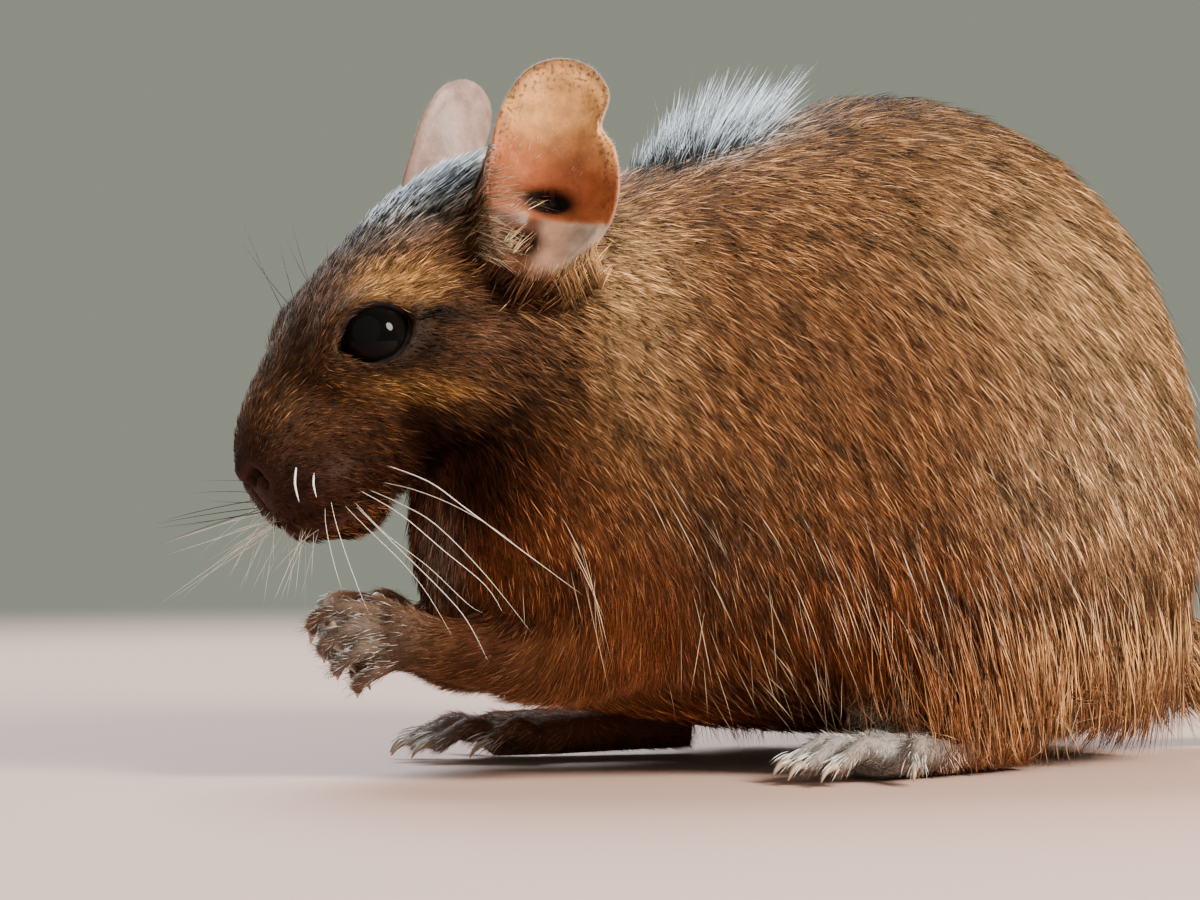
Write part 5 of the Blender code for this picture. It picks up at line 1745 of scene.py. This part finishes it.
# points along the near side's whiskers, from root to tip, and their widths in mm
NEAR_WHISKERS = [
    [(6.8, -53.0, 34.8), (12.6, -50.2, 33.1), (17.2, -47.8, 30.4),
     (22.5, -43.3, 25.9), (26.7, -37.7, 21.0)],
    [(6.0, -53.1, 32.9), (11.3, -51.4, 32.2), (15.9, -49.0, 30.8),
     (20.3, -46.6, 28.8), (22.9, -44.3, 26.7)],
    [(5.8, -54.7, 32.1), (11.1, -53.0, 30.7), (15.8, -50.6, 28.5),
     (20.8, -46.8, 23.2), (24.4, -42.6, 16.7)],
    [(6.3, -56.2, 32.2), (12.2, -53.4, 29.6), (17.2, -50.3, 25.8),
     (21.8, -47.2, 22.1), (24.1, -46.0, 19.1)],
    [(5.9, -56.4, 30.8), (11.3, -54.7, 27.4), (16.3, -51.6, 23.9),
     (20.9, -48.9, 20.1), (23.0, -47.7, 19.1)],
    [(6.1, -57.8, 30.6), (11.2, -56.8, 28.0), (15.9, -54.4, 24.3),
     (19.8, -53.0, 21.0), (22.4, -51.1, 16.4)],
    [(6.3, -56.2, 30.2), (12.2, -53.4, 25.7), (17.2, -50.3, 21.2),
     (21.1, -49.0, 18.2), (23.5, -47.4, 13.7)],
    [(7.2, -59.6, 31.1), (11.4, -60.6, 28.9), (15.0, -60.9, 25.9),
     (18.4, -60.7, 22.2), (20.4, -60.0, 19.0)],
    [(6.8, -60.1, 30.3), (10.8, -61.5, 28.5), (14.2, -62.2, 25.9),
     (17.3, -62.7, 23.7), (19.0, -62.6, 21.5)],
]
NEAR_WIDTHS = [0.17, 0.13, 0.15, 0.11, 0.09, 0.09, 0.12, 0.075, 0.07]
lines = np.array([smooth_rows(rows, 4) for rows in NEAR_WHISKERS])
tints = shaded((0.95, 0.86, 0.76), len(lines), 0.6, 1.0)
strands("whiskers_left", whisker_hair, lines, WHISKER_UP, NEAR_WIDTHS, tints)
FAR_WHISKERS, FOREMOST_WHISKER = 20, -73.5
count = FAR_WHISKERS
pad = np.array([rows[0] for rows in NEAR_WHISKERS]) * [-1, 1, 1]
spots = pad[rng.integers(0, len(pad), count)] + rng.normal(0, 0.9, (count, 3))
starts = on_skin(spots)
raised = rng.random(count)
outward = -0.45 + rng.normal(0, 0.10, count)
forward = -0.85 + rng.normal(0, 0.12, count)
upward = -0.65 + 0.75 * raised + rng.normal(0, 0.06, count)
ways = unit(np.stack([outward, forward, upward], axis=1))
dark_ones = (raised > 0.55)[:, None]
tints = np.where(dark_ones, (0.06, 0.04, 0.03), (0.90, 0.84, 0.76))
lengths = rng.uniform(12, 23, count)
lengths = np.minimum(lengths, (starts[:, 1] - FOREMOST_WHISKER) / np.maximum(-ways[:, 1], 0.1))
lines = bent_lines(starts - ways * 0.5, ways, lengths, rng.uniform(-0.1, 0.25, count), 12)
strands("whiskers_right", whisker_hair, lines, WHISKER_UP,
        rng.uniform(0.06, 0.11, count), tints)

# %% Set the small bristles
LIP_EDGE = np.array([(-2.2, -65.2, 30.8), (0.5, -63.8, 29.0), (2.6, -61.5, 27.8), (3.4, -58.5, 27.4)])
LIP_UP = (0.1, 1.0, 0.2)
BROW_ROOTS = np.array([(5.5, 13.5, 9.5), (5.0, 14.5, 10.0), (5.8, 15.5, 9.6)])  # in the head's frame
BROW_WAYS = np.array([(0.25, -0.45, 0.95), (0.35, -0.75, 0.9), (0.3, -0.2, 1.0)])
BROW_LENGTHS = np.array([11.0, 9.0, 7.0])
BROW_TINTS = np.tile((0.05, 0.04, 0.035), (3, 1))
# two thick pure-white bristles on the nose: partly real bristles, partly painted glints of light
NOSE_GLINT_BRISTLES = [
    [(6.6, -63.4, 34.6), (7.9, -64.0, 32.9), (8.2, -63.6, 30.8)],
    [(7.6, -61.7, 34.0), (8.6, -62.1, 32.8), (8.8, -61.8, 31.3)],
]
LIP_BRISTLES = 18
count = LIP_BRISTLES
for side, word in SIDES:
    place = rng.uniform(0.5, 3, count)
    spots = np.stack([np.interp(place, [0, 1, 2, 3], LIP_EDGE[:, k]) for k in range(3)], axis=1)
    spots = spots * [side, 1, 1] + rng.normal(0, 0.5, (count, 3))
    starts = on_skin(spots)
    ways = np.stack([np.full(count, side * 0.1), -0.75 + 0.2 * place, np.full(count, -0.8)], axis=1)
    ways = unit(ways + rng.normal(0, 0.26, ways.shape))
    tints = shaded((0.92, 0.87, 0.80), count, 0.4, 1.0)
    lengths, sag = rng.uniform(3.0, 9.5, count), rng.uniform(0.05, 0.4, count)
    lines = bent_lines(starts - ways * 0.5, ways, lengths, sag, 6)
    strands("lip_bristles_" + word, whisker_hair, lines, LIP_UP,
            rng.uniform(0.035, 0.075, count), tints)
    starts = on_skin(in_head(BROW_ROOTS * [side, 1, 1]))
    ways = unit(BROW_WAYS * [side, 1, 1])
    lines = bent_lines(starts - ways * 0.6, ways, BROW_LENGTHS, np.full(3, -0.15), 12)
    strands("brow_whiskers_" + word, whisker_hair, lines, WHISKER_UP, 0.09, BROW_TINTS)
    # thick and pure white: partly painted glints
    lines = np.array([smooth_rows(rows, 4) for rows in NOSE_GLINT_BRISTLES]) * [side, 1, 1]
    strands("nose_glint_bristles_" + word, whisker_hair, lines, LIP_UP, (0.32, 0.27),
            np.ones((2, 3)))

# %% Set bristles over the toes
TOE_BRISTLES = 44  # on each toe
# the far foot's bristles are a little darker: painted shade
TOE_TINTS = {"left": (0.98, 0.96, 0.93), "right": (0.92, 0.88, 0.82)}
for word, tone in TOE_TINTS.items():
    x, y, turn = FEET[word]
    side = 1 if word == "left" else -1
    turned = np.array(Matrix.Rotation(math.radians(turn), 3, "Z"))
    starts, ways = [], []
    for across, back, long, splay in TOES:
        angle = math.radians(splay)
        forward = np.array([side * math.sin(angle), -math.cos(angle), 0])
        sideways = np.array([forward[1], -forward[0], 0])
        for _ in range(TOE_BRISTLES):
            reach = forward * (long * rng.uniform(0.45, 0.98)) + sideways * rng.normal(0, 0.5)
            place = turned @ (np.array([side * across, back, 0]) + reach)
            starts.append(place + [x, y, rng.uniform(2.4, 3.6)])
            way = forward + sideways * rng.normal(0, 0.18) + [0, 0, rng.uniform(-0.45, 0.05)]
            ways.append(turned @ unit(way))
    starts, ways = np.array(starts), np.array(ways)
    count = len(starts)
    lines = bent_lines(starts, ways, rng.uniform(1.8, 3.9, count), np.full(count, 0.3), 4)
    lines[:, :, 2] = np.maximum(lines[:, :, 2], FLOOR_CLEARANCE)
    tints = shaded(tone, count, 0.6, 1.05)
    strands("toe_bristles_" + word, pale_hair, lines, (0, 0, 1.0),
            rng.uniform(0.08, 0.14, count), tints)

# %% Add the claws
# along and above the tip of the digit, and the radius there, in mm
FINGER_CLAW = [
    (-0.5, 0.0, 0.48), (0.2, 0.1, 0.46), (0.7, 0.1, 0.36), (1.15, -0.08, 0.2), (1.5, -0.3, 0.06),
]
TOE_CLAW = [(-0.5, 1.8, 0.5), (0.5, 2.1, 0.5), (1.2, 1.9, 0.4), (1.9, 1.3, 0.26), (2.4, 0.5, 0.08)]
claw_horn = grained_material("claw_horn", (0.34, 0.25, 0.18), 0.3, 1.0, 0.02, 0.25)


def claw_object(name, slot, rows_of_claws):
    """All claws of one limb as one piece, from rows of x, y, z, radius in mm."""
    bm = bmesh.new()
    for rows in rows_of_claws:
        tube_into(bm, rows, 10)
    dress(new_object(name, finish_mesh(bm, bpy.data.meshes.new(name))), claw_horn, slot)
    print(name, "claws:", len(rows_of_claws))


for side, word in SIDES:
    hand_claws, toe_claws = [], []
    for finger in FINGERS + [THUMB]:
        before, tip = in_hand(finger[-2:], side)
        ahead = unit(tip - before)
        hand_claws.append([(*(tip + ahead * a + [0, 0, z]), r) for a, z, r in FINGER_CLAW])
    x, y, turn = FEET[word]
    turned = Matrix.Rotation(math.radians(turn), 3, "Z")
    for across, back, long, splay in TOES:
        angle = math.radians(splay)
        forward = Vector((side * math.sin(angle), -math.cos(angle), 0))
        root = Vector((side * across, back, 0))
        rows = []
        for a, z, r in TOE_CLAW:
            spot = turned @ (root + forward * (long + a)) + Vector((x, y, z))
            rows.append((*spot, r))
        toe_claws.append(rows)
    claw_object("hand_claws_" + word, "hand_coat", hand_claws)
    claw_object("toe_claws_" + word, "foot_coat", toe_claws)
